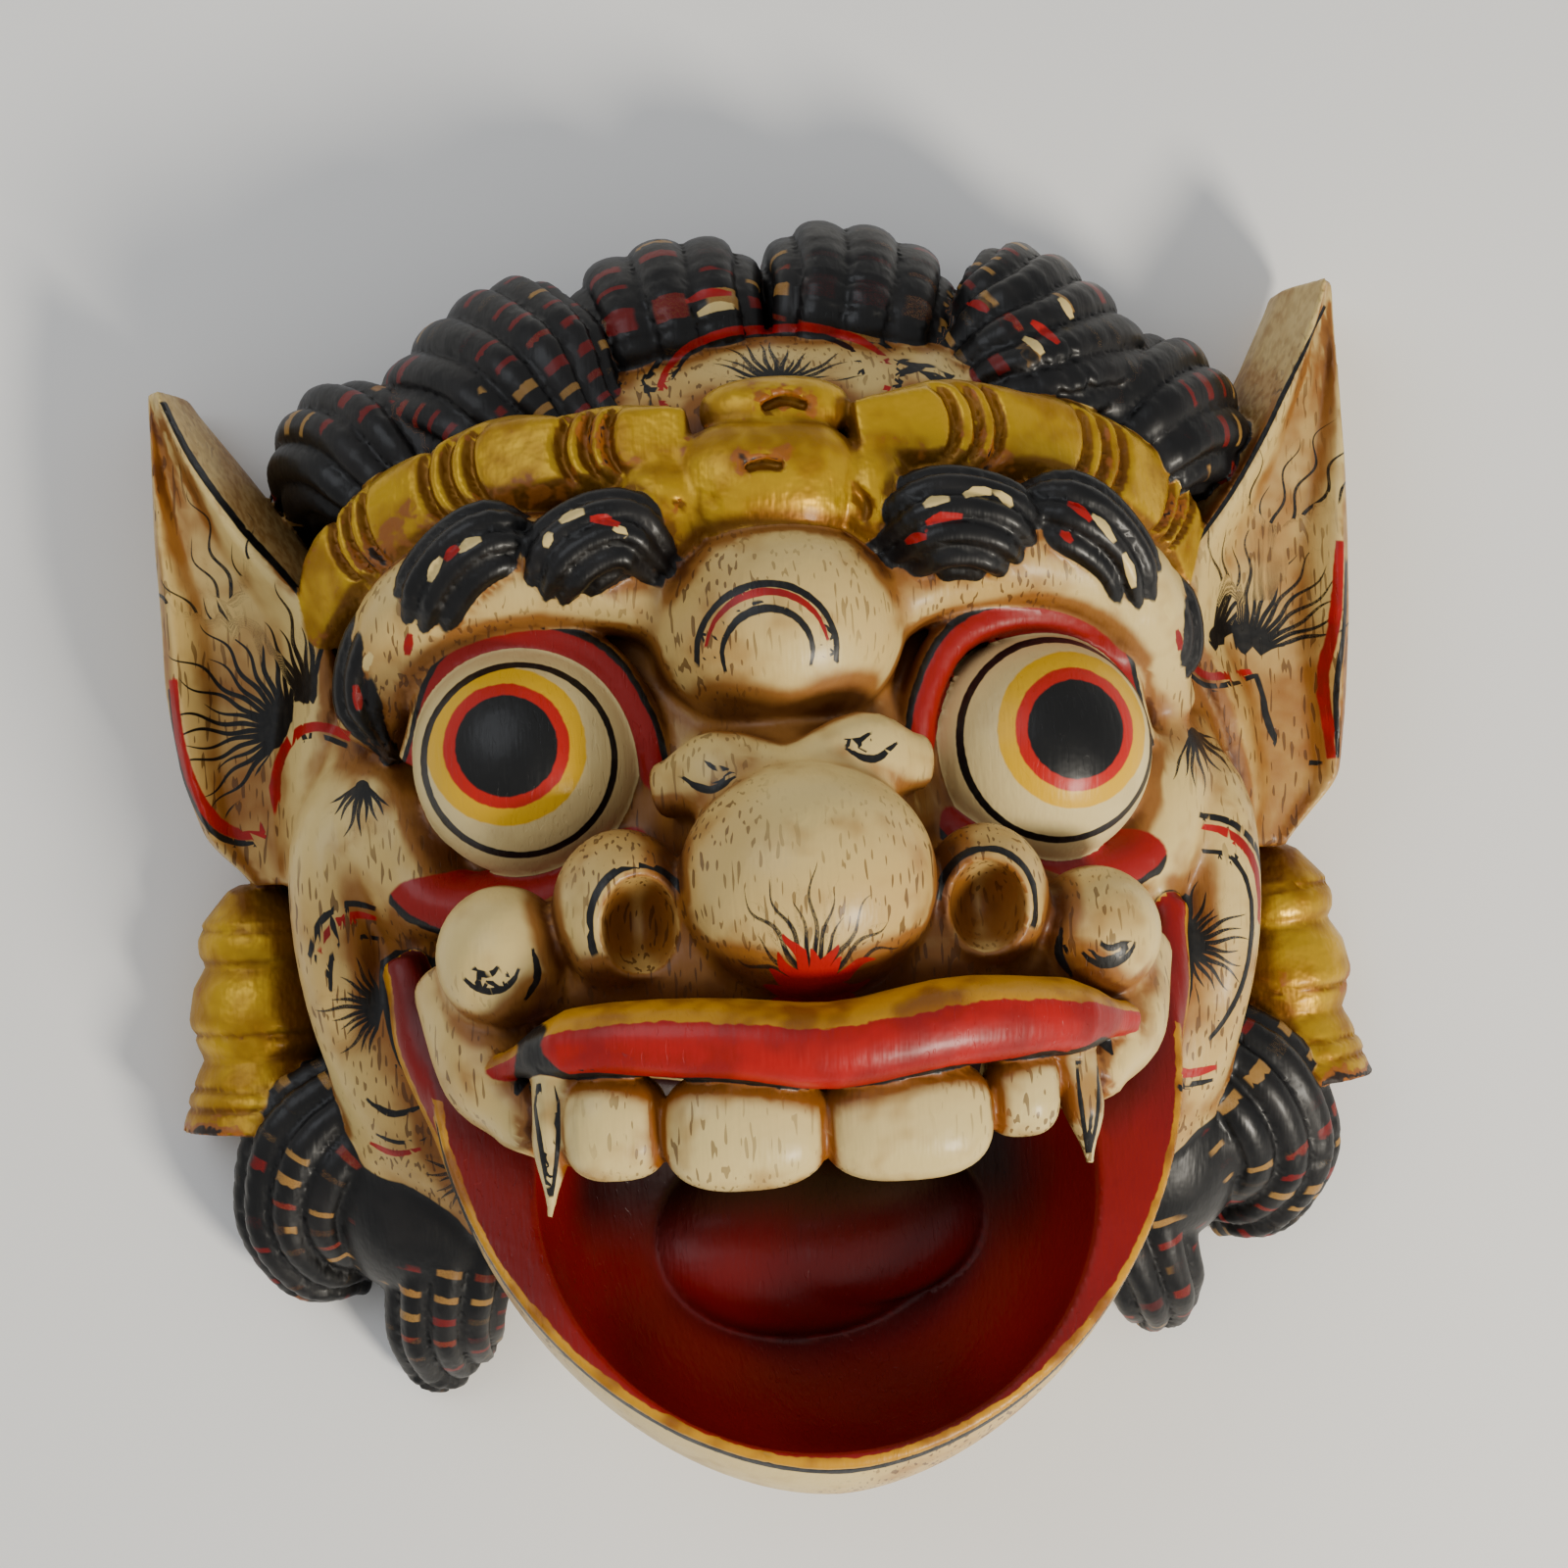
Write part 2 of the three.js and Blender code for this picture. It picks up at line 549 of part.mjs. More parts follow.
function ears() {
  const left = ear({ side: -1, levels: [
    { y: -2, outer: 157, rim: 146, inner: 128, front: 46, dish: 1 },
    { y: 12, outer: 171, rim: 140, inner: 118, front: 50, dish: 5 },
    { y: 32, outer: 177, rim: 136, inner: 116, front: 55, dish: 10 },
    { y: 58, outer: 180, rim: 128, inner: 114, front: 60, dish: 13 },
    { y: 78, outer: 180, rim: 132, inner: 120, front: 60, dish: 12 },
    { y: 102, outer: 181, rim: 153, inner: 137, front: 58, dish: 9 },
    { y: 126, outer: 181, rim: 168, inner: 154, front: 54, dish: 5 },
    { y: 149, outer: 181, rim: 178, inner: 171, front: 50, dish: 0 },
  ] });
  const right = ear({ side: 1, levels: [
    { y: -8, outer: 163, rim: 150, inner: 130, front: 44, dish: 1 },
    { y: 12, outer: 182, rim: 148, inner: 118, front: 48, dish: 5 },
    { y: 36, outer: 184, rim: 142, inner: 116, front: 54, dish: 9 },
    { y: 62, outer: 185, rim: 128, inner: 114, front: 60, dish: 13 },
    { y: 86, outer: 186, rim: 134, inner: 122, front: 60, dish: 11 },
    { y: 112, outer: 187, rim: 154, inner: 142, front: 58, dish: 8 },
    { y: 140, outer: 187, rim: 171, inner: 161, front: 54, dish: 4 },
    { y: 168, outer: 187, rim: 184, inner: 175, front: 48, dish: 0 },
  ] });
  return [left, right];
}

/** Bell-shaped drops below the ears, turned in three swellings, the mouth of the bell cut off flat. */
function pendants() {
  const profile = [[0, 0], [9, 0], [18, 12], [19.5, 18], [17.5, 25], [21, 32], [22.5, 42], [19.5, 52],
    [19, 56], [23, 66], [25, PENDANT_LENGTH], [0, PENDANT_LENGTH]];
  return [
    { centre: [-157, -2, 17], swing: -2 },
    { centre: [161, -8, 17], swing: 4 },
  ].map(({ centre, swing }) => {
    const drop = new THREE.LatheGeometry(
      profile.map(([radius, fall]) => new THREE.Vector2(radius, -fall)).reverse(),
      12,
    );
    drop.rotateZ(THREE.MathUtils.degToRad(swing));
    drop.translate(...centre);
    return toSolid(drop);
  });
}

// ---------------------------------------------------------------- the hollow for the wearer

function backHollow() {
  return join([
    mass({ centre: [0, 12, 0], radii: [88, 108, 66], around: 20, over: 10 }),
    mass({ centre: [0, 14, 40], radii: [48, 46, 54] }),
  ]);
}

// ---------------------------------------------------------------- the whole mask

function carveMask() {
  const shell = headShell().add(jawBlock()).subtract(mouthCavity());
  const sides = nostrils();
  const raised = [
    shell, tongue(), muzzle(), upperLip(), crown(), ...jawBands(),
    ...sides.map((side) => side.raised),
    ...teeth(), ...eyes(), ...brows(), ...cheeks(), ...hair(), ...ears(), ...pendants(),
  ];
  return sides
    .reduce((solid, side) => solid.subtract(side.hole), join(raised))
    .subtract(backHollow())
    .subtract(halfSpace({ through: [0, 0, 0], below: true }));
}

const paintedWood = new THREE.MeshStandardMaterial({ color: 0xc8b98c, roughness: 0.4, metalness: 0 });

const geometry = thin(fillPockets(toGeometry(carveMask())), MOST_TRIANGLES);
geometry.computeBoundingBox();
const middle = geometry.boundingBox.getCenter(new THREE.Vector3());
geometry.translate(-middle.x, -middle.y, 0);

const mask = new THREE.Mesh(geometry, paintedWood);
mask.name = 'barong_mask';

const barongMask = new THREE.Group();
barongMask.add(mask);

export default barongMask;
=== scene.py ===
"""A barong mask carved from one block of wood and painted, lying on its back on a pale floor.

The forms are the carver's: rounded masses, fluted locks, ears, a gilded crown band and turned drops,
joined in one field and skinned as one closed mesh. All lengths of the carving are in face millimetres:
+X to the right and +Y up for someone looking at the face, +Z out of it, the nose line at x = 0 and
the flat back at z = 0. The frame's box says where those millimetres lie in the row frame, in metres.
"""

import math

import bpy
import numpy as np
import openvdb
from mathutils import Euler, Matrix, Vector


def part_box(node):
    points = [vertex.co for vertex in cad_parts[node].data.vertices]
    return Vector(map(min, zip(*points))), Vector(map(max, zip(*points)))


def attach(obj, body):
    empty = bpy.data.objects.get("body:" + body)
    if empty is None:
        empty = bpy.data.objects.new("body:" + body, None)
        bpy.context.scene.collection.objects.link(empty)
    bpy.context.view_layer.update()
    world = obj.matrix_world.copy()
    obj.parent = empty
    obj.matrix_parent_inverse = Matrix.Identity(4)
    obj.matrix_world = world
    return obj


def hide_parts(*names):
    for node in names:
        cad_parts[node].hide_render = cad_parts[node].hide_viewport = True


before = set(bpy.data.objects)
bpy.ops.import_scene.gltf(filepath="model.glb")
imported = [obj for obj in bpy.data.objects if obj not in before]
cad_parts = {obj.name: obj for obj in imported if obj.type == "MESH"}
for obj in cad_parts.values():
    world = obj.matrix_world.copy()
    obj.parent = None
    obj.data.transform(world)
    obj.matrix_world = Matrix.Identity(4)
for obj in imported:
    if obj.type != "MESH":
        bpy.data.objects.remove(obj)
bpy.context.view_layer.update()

# ---------------------------------------------------------------- sizes, in face millimetres

FACE_LOW = np.array([-184.64, -185.96, 0.0])
FACE_SIZE = np.array([375.88, 377.98, 187.14])

VOXEL = 1.6
MOST_TRIANGLES = 196000
FAR = 30.0
TINY = 1e-4
STRAND_NODES = 21
FLUTE_DEPTH = 3.4
FRONT_SWELL = 1.3
RIM_THROUGH = np.array([0.0, -31.0, 92.0])
RIM_NORMAL = np.array([0.0, 0.3714, 0.9285])
THROAT_THROUGH = np.array([0.0, -138.0, 0.0])
THROAT_NORMAL = np.array([0.0, 0.8415, 0.5403])
BAND_HALF_DEPTH = 8.5
BAND_ROOT = 14.0
PENDANT_LENGTH = 76.0

box_low, box_high = (np.array(corner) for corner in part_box("barong_mask"))
MM = 1000.0
face_scale = (box_high - box_low) * MM / FACE_SIZE


def to_row(points):
    """Face millimetres to metres in the row frame."""
    return box_low + (points - FACE_LOW) * face_scale / MM


# ---------------------------------------------------------------- blending

def union(a, b, soft):
    """The nearer of two distances, eased over `soft` millimetres."""
    if soft <= 0:
        return np.minimum(a, b)
    share = np.clip(0.5 + 0.5 * (b - a) / soft, 0, 1)
    return b + (a - b) * share - soft * share * (1 - share)


def common(a, b, soft):
    """The farther of two distances, eased over `soft` millimetres."""
    return -union(-a, -b, soft)


def smoothstep(low, high, value):
    part = np.clip((value - low) / (high - low), 0, 1)
    return part * part * (3 - 2 * part)


def eased(knots, settings, value):
    """Settings at given knots, read anywhere with an eased step between neighbours."""
    knots = np.asarray(knots, float)
    settings = np.asarray(settings, float)
    spot = np.clip(np.searchsorted(knots, value) - 1, 0, len(knots) - 2)
    part = smoothstep(knots[spot], knots[spot + 1], value)
    return settings[spot] + (settings[spot + 1] - settings[spot]) * part


def faired(knots, settings, value, window):
    """Settings at given knots as a smooth curve, its corners rounded over `window`."""
    fine = np.linspace(min(knots), max(knots), 400)
    flat = np.interp(fine, knots, settings)
    reach = max(1, int(window / (fine[1] - fine[0]) / 2))
    padded = np.concatenate([np.full(reach, flat[0]), flat, np.full(reach, flat[-1])])
    kernel = np.hanning(2 * reach + 3)[1:-1]
    smooth = np.convolve(padded, kernel / kernel.sum(), mode="valid")
    return np.interp(value, fine, smooth[: len(fine)])


def smooth_path(path, t):
    """A smooth curve through the points of a path, at shares `t` of its way."""
    path = np.asarray(path, float)
    ends = [2 * path[0] - path[1]], [2 * path[-1] - path[-2]]
    p = np.concatenate([ends[0], path, ends[1]])
    gap = np.sqrt(np.linalg.norm(np.diff(p, axis=0), axis=1))[:, None]
    place = np.asarray(t) * (len(path) - 1)
    i = np.minimum(place.astype(int), len(path) - 2)
    w = (place - i)[:, None]
    a, b, c = gap[i], gap[i + 1], gap[i + 2]
    p0, p1, p2, p3 = p[i], p[i + 1], p[i + 2], p[i + 3]
    leave = ((p1 - p0) / a - (p2 - p0) / (a + b) + (p2 - p1) / b) * b
    arrive = ((p2 - p1) / b - (p3 - p1) / (b + c) + (p3 - p2) / c) * b
    cubic = 2 * p1 - 2 * p2 + leave + arrive
    square = -3 * p1 + 3 * p2 - 2 * leave - arrive
    return ((cubic * w + square) * w + leave) * w + p1


def unit(v):
    return v / np.linalg.norm(v, axis=-1, keepdims=True)


def nearest_step(nodes, flat, run_on=False):
    """The step of a path nearest to each point, and the share of the way along that step.

    With `run_on` the first and the last step go on past their ends.
    """
    best = np.full(len(flat), np.inf)
    index = np.zeros(len(flat), int)
    part = np.zeros(len(flat))
    for i, step in enumerate(np.diff(nodes, axis=0)):
        gap = flat - nodes[i]
        least = -np.inf if run_on and i == 0 else 0
        most = np.inf if run_on and i == len(nodes) - 2 else 1
        share = np.clip(gap @ step / (step @ step), least, most)
        far = np.square(gap - share[:, None] * step).sum(axis=1)
        nearer = far < best
        best = np.where(nearer, far, best)
        index = np.where(nearer, i, index)
        part = np.where(nearer, share, part)
    return index, part


# ---------------------------------------------------------------- the carver's forms

class Mass:
    """A rounded mass. `square` makes it boxier across, `slab` makes it boxier in depth."""

    def __init__(self, centre, radii, turn=(0, 0, 0), square=1.0, slab=1.0):
        self.centre = np.array(centre, float)
        self.radii = np.array(radii, float)
        self.axes = np.array(Euler([math.radians(a) for a in turn], "ZYX").to_matrix())
        self.square, self.slab = square, slab
        reach = np.abs(self.axes) @ self.radii
        self.low, self.high = self.centre - reach, self.centre + reach

    def distance(self, points):
        part = np.abs((points - self.centre) @ self.axes) / self.radii + TINY
        x, y, z = part[..., 0], part[..., 1], part[..., 2]
        s, e = self.square, self.slab
        ring = (x ** (2 * s) + y ** (2 * s)) ** (0.5 / s)
        level = (ring ** (2 * e) + z ** (2 * e)) ** (0.5 / e)
        lean = (ring / level) ** (2 * e - 1)
        slope_x = lean * (x / ring) ** (2 * s - 1) / self.radii[0]
        slope_y = lean * (y / ring) ** (2 * s - 1) / self.radii[1]
        slope_z = (z / level) ** (2 * e - 1) / self.radii[2]
        return (level - 1) / np.sqrt(slope_x ** 2 + slope_y ** 2 + slope_z ** 2)


class Sweep:
    """A path with a frame at each of its nodes: the way along it, across it, and out of its front."""

    def __init__(self, path, out):
        self.t = np.linspace(0, 1, STRAND_NODES)
        self.middle = smooth_path(path, self.t)
        self.along = unit(np.gradient(self.middle, axis=0))
        out = np.broadcast_to(out(self.middle) if callable(out) else np.array(out, float), (STRAND_NODES, 3))
        self.across = unit(np.cross(self.along, out))
        self.front = unit(np.cross(self.across, self.along))
        self.length = np.linalg.norm(np.diff(self.middle, axis=0), axis=1).sum()

    def locate(self, points):
        """Share of the way, and the offsets across, out of the front and past the ends."""
        flat = points.reshape(-1, 3)
        index, share = nearest_step(self.middle, flat)
        t = (index + share) / (STRAND_NODES - 1)

        def read(rows):
            return np.stack([np.interp(t, self.t, rows[:, k]) for k in range(3)], axis=1)

        gap = flat - read(self.middle)
        shape = points.shape[:-1]
        offsets = [(gap * read(rows)).sum(axis=1).reshape(shape)
                   for rows in (self.across, self.front, self.along)]
        return (t.reshape(shape), *offsets)


class Strand(Sweep):
    """A lock, lip, lid or lobe: a sweep whose front is a low arch, `flutes` ridges wide."""

    FULLNESS = 2.3
    ENDING = 0.45

    def __init__(self, path, widths, depths, out=(0, 0, 1), flutes=0, groove=FLUTE_DEPTH):
        super().__init__(path, out)
        stops = np.linspace(0, 1, len(widths))
        self.half_width = eased(stops, widths, self.t) / 2
        self.half_depth = eased(stops, depths, self.t) / 2
        self.flutes, self.groove = flutes, groove
        reach = max(max(widths) / 2, max(depths) / 2 * FRONT_SWELL)
        self.low, self.high = self.middle.min(0) - reach, self.middle.max(0) + reach

    def section(self, points):
        """Where points lie in the strand's own section, with its half sizes there."""
        t, x, y, z = self.locate(points)
        half_width = np.interp(t, self.t, self.half_width)
        half_depth = np.interp(t, self.t, self.half_depth) * np.where(y > 0, FRONT_SWELL, 1.0)
        return t, x, y, z, half_width, half_depth

    def distance(self, points):
        t, x, y, z, half_width, half_depth = self.section(points)
        half_end = self.ENDING * np.minimum(half_width, half_depth)
        p = self.FULLNESS
        sx, sy, sz = np.abs(x) / half_width, np.abs(y) / half_depth, np.abs(z) / half_end
        level = (sx ** p + sy ** p + sz ** p) ** (1 / p) + TINY
        slope = np.sqrt(
            ((sx / level) ** (p - 1) / half_width) ** 2
            + ((sy / level) ** (p - 1) / half_depth) ** 2
            + ((sz / level) ** (p - 1) / half_end) ** 2
        )
        away = (level - 1) / np.maximum(slope, TINY)
        if self.flutes:
            turn = np.arctan2(np.maximum(y, 0) / half_depth, x / half_width) / math.pi
            valley = 1 - np.abs(np.sin(math.pi * self.flutes * turn)) ** 0.75
            fade = np.clip(0.5 + 4 * y / half_depth, 0, 1)
            away = away + np.minimum(self.groove, 0.5 * half_depth) * valley * fade
        return away

    def ridges(self, points):
        """Millimetres along the strand and ridges round it."""
        t, x, y, _, half_width, half_depth = self.section(points)
        turn = np.arctan2(np.maximum(y, 0) / half_depth, x / half_width) / math.pi
        return t * self.length, turn * max(self.flutes, 1)


class Band(Sweep):
    """One side of the gilded crown: a flat band with a scalloped top and triple bowed grooves."""

    BOW = 6.0
    GROOVE_PITCH = 6.2
    GROOVE_HALF_WIDTH = 1.5
    GROOVE_DEPTH = 3.6
    SCALLOP = 4.0

    def __init__(self, path, widths, groups, scallops):
        super().__init__(path, lambda middle: unit(middle * [0.35, 0, 0] + [0, 30, 90]))
        self.half_width = eased(np.linspace(0, 1, len(widths)), widths, self.t) / 2
        self.groups, self.scallops = groups, scallops
        reach = max(widths) / 2 + 4
        self.low, self.high = self.middle.min(0) - reach, self.middle.max(0) + reach

    def distance(self, points):
        t, x, y, z = self.locate(points)
        up = x * np.sign(self.across[0, 1])
        half = np.interp(t, self.t, self.half_width)
        notch = self.SCALLOP * (1 - np.abs(np.sin(math.pi * self.scallops * t)) ** 0.6)
        top = half - notch * (up > 0)
        face = BAND_HALF_DEPTH - 5.0 * smoothstep(0.45, 1.0, np.abs(up) / half) ** 2
        for group in self.groups:
            for line in (-1, 0, 1):
                aside = (t - group) * self.length - line * self.GROOVE_PITCH - self.BOW * (up / half) ** 2
                face = face - self.GROOVE_DEPTH * np.exp(-(aside / self.GROOVE_HALF_WIDTH) ** 2) \
                    * (1 - smoothstep(0.6, 0.95, np.abs(up) / half))
        away = common(np.abs(up) - top, common(y - face, -BAND_ROOT - y, 1.0), 2.5)
        return common(away, np.abs(z) - 3.0, 2.0)


class Ear:
    """A leaf-shaped ear: a dished front inside a raised front rim, and a bevel towards the head."""

    BACK = 8.0

    def __init__(self, side, levels):
        self.side = side
        self.levels = {key: [level[key] for level in levels] for key in levels[0]}
        ys = self.levels["y"]
        far = max(self.levels["outer"])
        near = min(self.levels["inner"])
        self.low = np.array([min(side * near, side * far), min(ys), 0.0])
        self.high = np.array([max(side * near, side * far), max(ys), max(self.levels["front"])])

    def setting(self, key, y):
        return faired(self.levels["y"], self.levels[key], y, 16)

    def across(self, points):
        """Share of the way from the outer edge (0) to the front rim (1), and on to the head."""
        x, y = self.side * points[..., 0], points[..., 1]
        outer, rim = self.setting("outer", y), self.setting("rim", y)
        return (outer - x) / (outer - rim)

    def distance(self, points):
        x, y, z = self.side * points[..., 0], points[..., 1], points[..., 2]
        outer, rim, inner, front, dish = (
            self.setting(key, y) for key in ("outer", "rim", "inner", "front", "dish"))
        u = (outer - x) / (outer - rim)
        profile = eased([0, 0.08, 0.3, 0.65, 0.93, 1.0], [-11, -6, -6, -4, 0, 0], u)
        hollow = dish * eased([0.05, 0.32, 0.62, 0.93], [0, 1, 1, 0], u)
        bevel = np.clip((rim - x) / (rim - inner), 0, 1) * 0.5 * front
        top = front + profile - hollow - bevel
        bottom = self.BACK + (front - 36) * np.clip(1 - u / 0.7, 0, 1)
        thick = common(0.8 * (z - top), 0.8 * (bottom - z), 1.5)
        wide = common(x - outer, 0.8 * (inner - x), 1.0)
        tall = common(y - max(self.levels["y"]), min(self.levels["y"]) - y, 1.0)
        return common(common(thick, wide, 2.0), tall, 2.0)


class Pendant:
    """A drop turned in three swellings, with ring grooves, its bell cut off flat."""

    FALLS = [0, 2, 12, 18, 22, 25, 32, 42, 50, 54, 58, 66, 72, PENDANT_LENGTH]
    RADII = [6, 10, 18, 19.5, 19, 17, 21, 22.5, 20, 18, 20, 23, 24, 25.5]
    RINGS = [14.0, 46.0, 63.0, 69.0]

    def __init__(self, centre, swing):
        self.centre = np.array(centre, float)
        turn = Matrix.Rotation(math.radians(swing), 3, "Z")
        self.down = np.array(turn @ Vector((0, -1, 0)))
        end = self.centre + self.down * PENDANT_LENGTH
        reach = max(self.RADII)
        self.low = np.minimum(self.centre, end) - reach
        self.high = np.maximum(self.centre, end) + reach

    def distance(self, points):
        gap = points - self.centre
        fall = gap @ self.down
        radial = np.linalg.norm(gap - fall[..., None] * self.down, axis=-1)
        radius = faired(self.FALLS, self.RADII, fall, 2.5)
        for ring in self.RINGS:
            radius = radius - 1.1 * np.exp(-((fall - ring) / 0.9) ** 2)
        return common(0.85 * (radial - radius), np.maximum(-fall, fall - PENDANT_LENGTH), 1.0)


class Jaw:
    """The lower jaw: a deep block, its rim climbing to the chin, its underside slanting back."""

    def __init__(self):
        self.block = Mass([4, -62, 74], [110, 124, 98], square=0.9, slab=1.7)
        self.low, self.high = self.block.low, self.block.high

    def distance(self, points):
        above = (points - RIM_THROUGH) @ RIM_NORMAL
        under = -(points - THROAT_THROUGH) @ THROAT_NORMAL
        return common(common(self.block.distance(points), above, 1.6), under, 6.0)


# ---------------------------------------------------------------- the mask's forms, by what they are

SIDES = (-1, 1)

shell = [
    Mass([0, 55, 0], [137, 112, 95], slab=1.15),
    Mass([2, 10, 30], [118, 95, 90]),
    Mass([14, 110, 52], [96, 48, 46]),
    Mass([4, 92, 26], [128, 78, 52]),
    *[Mass([3 + side * 108, -42, 28], [32, 60, 54], turn=[0, 0, side * 12]) for side in SIDES],
    *[Mass([3 + side * 112, -92, 20], [36, 42, 36]) for side in SIDES],
    *[Mass([side * 116, 18, 30], [31, 62, 36]) for side in SIDES],
]

jaw = Jaw()
cavity = Mass([3, -86, 128], [82, 83, 66])

jaw_bands = [Strand(path, [12, 18, 20, 18, 10], [14, 20, 20, 20, 12], out=(0, -0.2, 1)) for path in (
    [[-112, -28, 80], [-106, -52, 88], [-95, -76, 94], [-86, -98, 102], [-80, -116, 108]],
    [[116, -24, 78], [110, -50, 86], [101, -76, 94], [94, -98, 102], [86, -116, 108]],
)]

tongue = [
    Mass([-2, -116, 66], [50, 32, 22], turn=[-30, 0, 0]),
    Mass([22, -113, 76], [38, 24, 15], turn=[-30, 0, 12]),
]

muzzle = [
    Mass([2, -30, 78], [96, 38, 76], slab=1.15),
    Mass([2, 6, 104], [40, 40, 40]),
    *[Strand(path, [30, 30, 22, 6], [26, 30, 26, 6]) for path in (
        [[-94, -34, 106], [-88, -56, 118], [-78, -70, 128], [-72, -82, 128]],
        [[96, -36, 104], [90, -54, 118], [80, -66, 130], [74, -76, 130]],
    )],
]

fold = Strand([[-35, 20, 128], [-20, 23, 136], [0, 21, 138], [20, 26, 137], [37, 24, 128]],
              [16, 26, 20, 26, 16], [10, 18, 16, 18, 10], out=(0, 0.2, 1))
bulb = Mass([1, 65, 108], [37, 32, 37])
nose = Mass([2, -7, 148], [36, 33, 36])

wings = [Mass([-49, -13, 136], [20, 23, 23]), Mass([53, -15, 136], [18, 21, 23])]
knobs = [Mass([-83, -24, 128], [19, 20, 21]), Mass([85, -27, 128], [19, 19, 21])]
nostrils = [Mass([-45, -17, 158], [11, 14, 24]), Mass([51, -17, 157], [10.5, 13, 24])]

upper_lip = Strand(
    [[-87, -55, 136], [-62, -47, 156], [-24, -48, 169], [4, -51, 173], [38, -47, 168],
     [68, -48, 155], [91, -51, 138]],
    [6, 19, 22, 23, 24, 21, 8], [6, 18, 21, 22, 22, 20, 8], out=(0, -0.15, 1))

teeth = [Mass(centre, radii, square=1.35, slab=1.2) for centre, radii in (
    ([-55, -71, 154], [15, 15, 14]), ([-20, -73, 162], [23, 17, 15]),
    ([24, -73, 162], [24, 17, 15]), ([57, -68, 154], [11, 13, 13]))]
fangs = [Strand(path, [18, 12, 2], [18, 12, 2]) for path in (
    [[-68, -52, 146], [-72, -72, 150], [-74, -95, 147]],
    [[70, -52, 146], [75, -72, 149], [77, -91, 146]])]

EYE_RADIUS = 34.0
balls = [Mass(centre, [EYE_RADIUS] * 3) for centre in ([-72, 31, 98], [76, 26, 98])]
lower_lids = [Strand(path, [4, 17, 22, 18, 8], [6, 18, 22, 20, 8], out=(0, -0.3, 1)) for path in (
    [[-118, 7, 74], [-103, -8, 84], [-78, -11, 94], [-52, -1, 106], [-38, 12, 108]],
    [[121, 10, 72], [104, -7, 84], [79, -12, 94], [56, -2, 106], [42, 13, 108]])]
upper_lids = [Strand(path, [8, 11, 12, 12, 11, 8], [8, 11, 12, 12, 11, 8]) for path in (
    [[-106, 34, 86], [-94, 60, 96], [-72, 67, 104], [-50, 58, 108], [-38, 36, 110], [-36, 12, 108]],
    [[110, 28, 84], [99, 58, 92], [76, 66, 102], [52, 60, 108], [40, 38, 110], [39, 14, 108]])]

brow_ridges = [Strand(path, [24, 36, 36, 26], [24, 36, 36, 26]) for path in (
    [[-116, 46, 66], [-100, 74, 84], [-66, 84, 100], [-34, 76, 104]],
    [[118, 40, 66], [104, 72, 84], [70, 84, 100], [37, 74, 104]])]

brow_lobes = [Strand(path, widths, [16, 26, 24, 8], flutes=flutes, groove=2.8) for path, widths, flutes in (
    ([[-32, 84, 112], [-44, 93, 118], [-58, 88, 118], [-68, 72, 110]], [18, 28, 28, 12], 5),
    ([[-66, 92, 106], [-81, 92, 110], [-94, 82, 104], [-103, 63, 94]], [14, 28, 28, 10], 5),
    ([[-101, 80, 88], [-113, 69, 82], [-119, 52, 76], [-112, 33, 76]], [12, 22, 20, 5], 4),
    ([[34, 86, 110], [48, 92, 117], [62, 90, 118], [76, 80, 110]], [26, 34, 32, 20], 6),
    ([[70, 95, 106], [86, 92, 109], [101, 80, 102], [110, 56, 92]], [16, 30, 26, 10], 5),
    ([[110, 80, 86], [120, 68, 80], [123, 54, 76], [114, 37, 78]], [10, 18, 17, 5], 3))]

flanges = [Strand(path, [20, 28, 28, 28, 24, 16], [24, 32, 32, 30, 26, 16]) for path in (
    [[-122, 34, 50], [-131, 6, 58], [-130, -28, 58], [-122, -58, 54], [-108, -82, 50], [-92, -104, 46]],
    [[128, 26, 50], [134, 2, 58], [134, -30, 58], [128, -58, 54], [116, -84, 50], [102, -106, 46]])]
cheekbones = [
    Mass([-108, 2, 64], [20, 36, 28], turn=[0, 0, 22]),
    Mass([112, 2, 64], [20, 36, 28], turn=[0, 0, -18]),
]

bands = [
    Band([[-130, 76, 54], [-122, 92, 66], [-104, 104, 80], [-78, 115, 94], [-50, 118, 104],
          [-24, 120, 108]], [20, 30, 34, 32, 28, 24], [0.28, 0.53, 0.8], 4),
    Band([[130, 80, 52], [124, 94, 62], [108, 106, 78], [84, 116, 92], [58, 120, 102],
          [28, 120, 108]], [20, 30, 34, 32, 32, 24], [0.22, 0.48, 0.78], 3),
]
centrepiece = [
    Mass([0, 106, 112], [27, 19, 17], square=1.4),
    Mass([-30, 101, 109], [15, 16, 14]),
    Mass([30, 101, 109], [12, 18, 14]),
    Mass([-27, 92, 110], [9, 10, 13]),
    Mass([4, 128, 106], [22, 10, 12], square=1.2),
]

TUFT_DEPTHS = [16, 28, 32, 30, 26]
HAIR_ROOT = [0, 50, 0]


def from_root(middle):
    """The way hair faces: out from a point low inside the head."""
    return unit(middle - HAIR_ROOT)


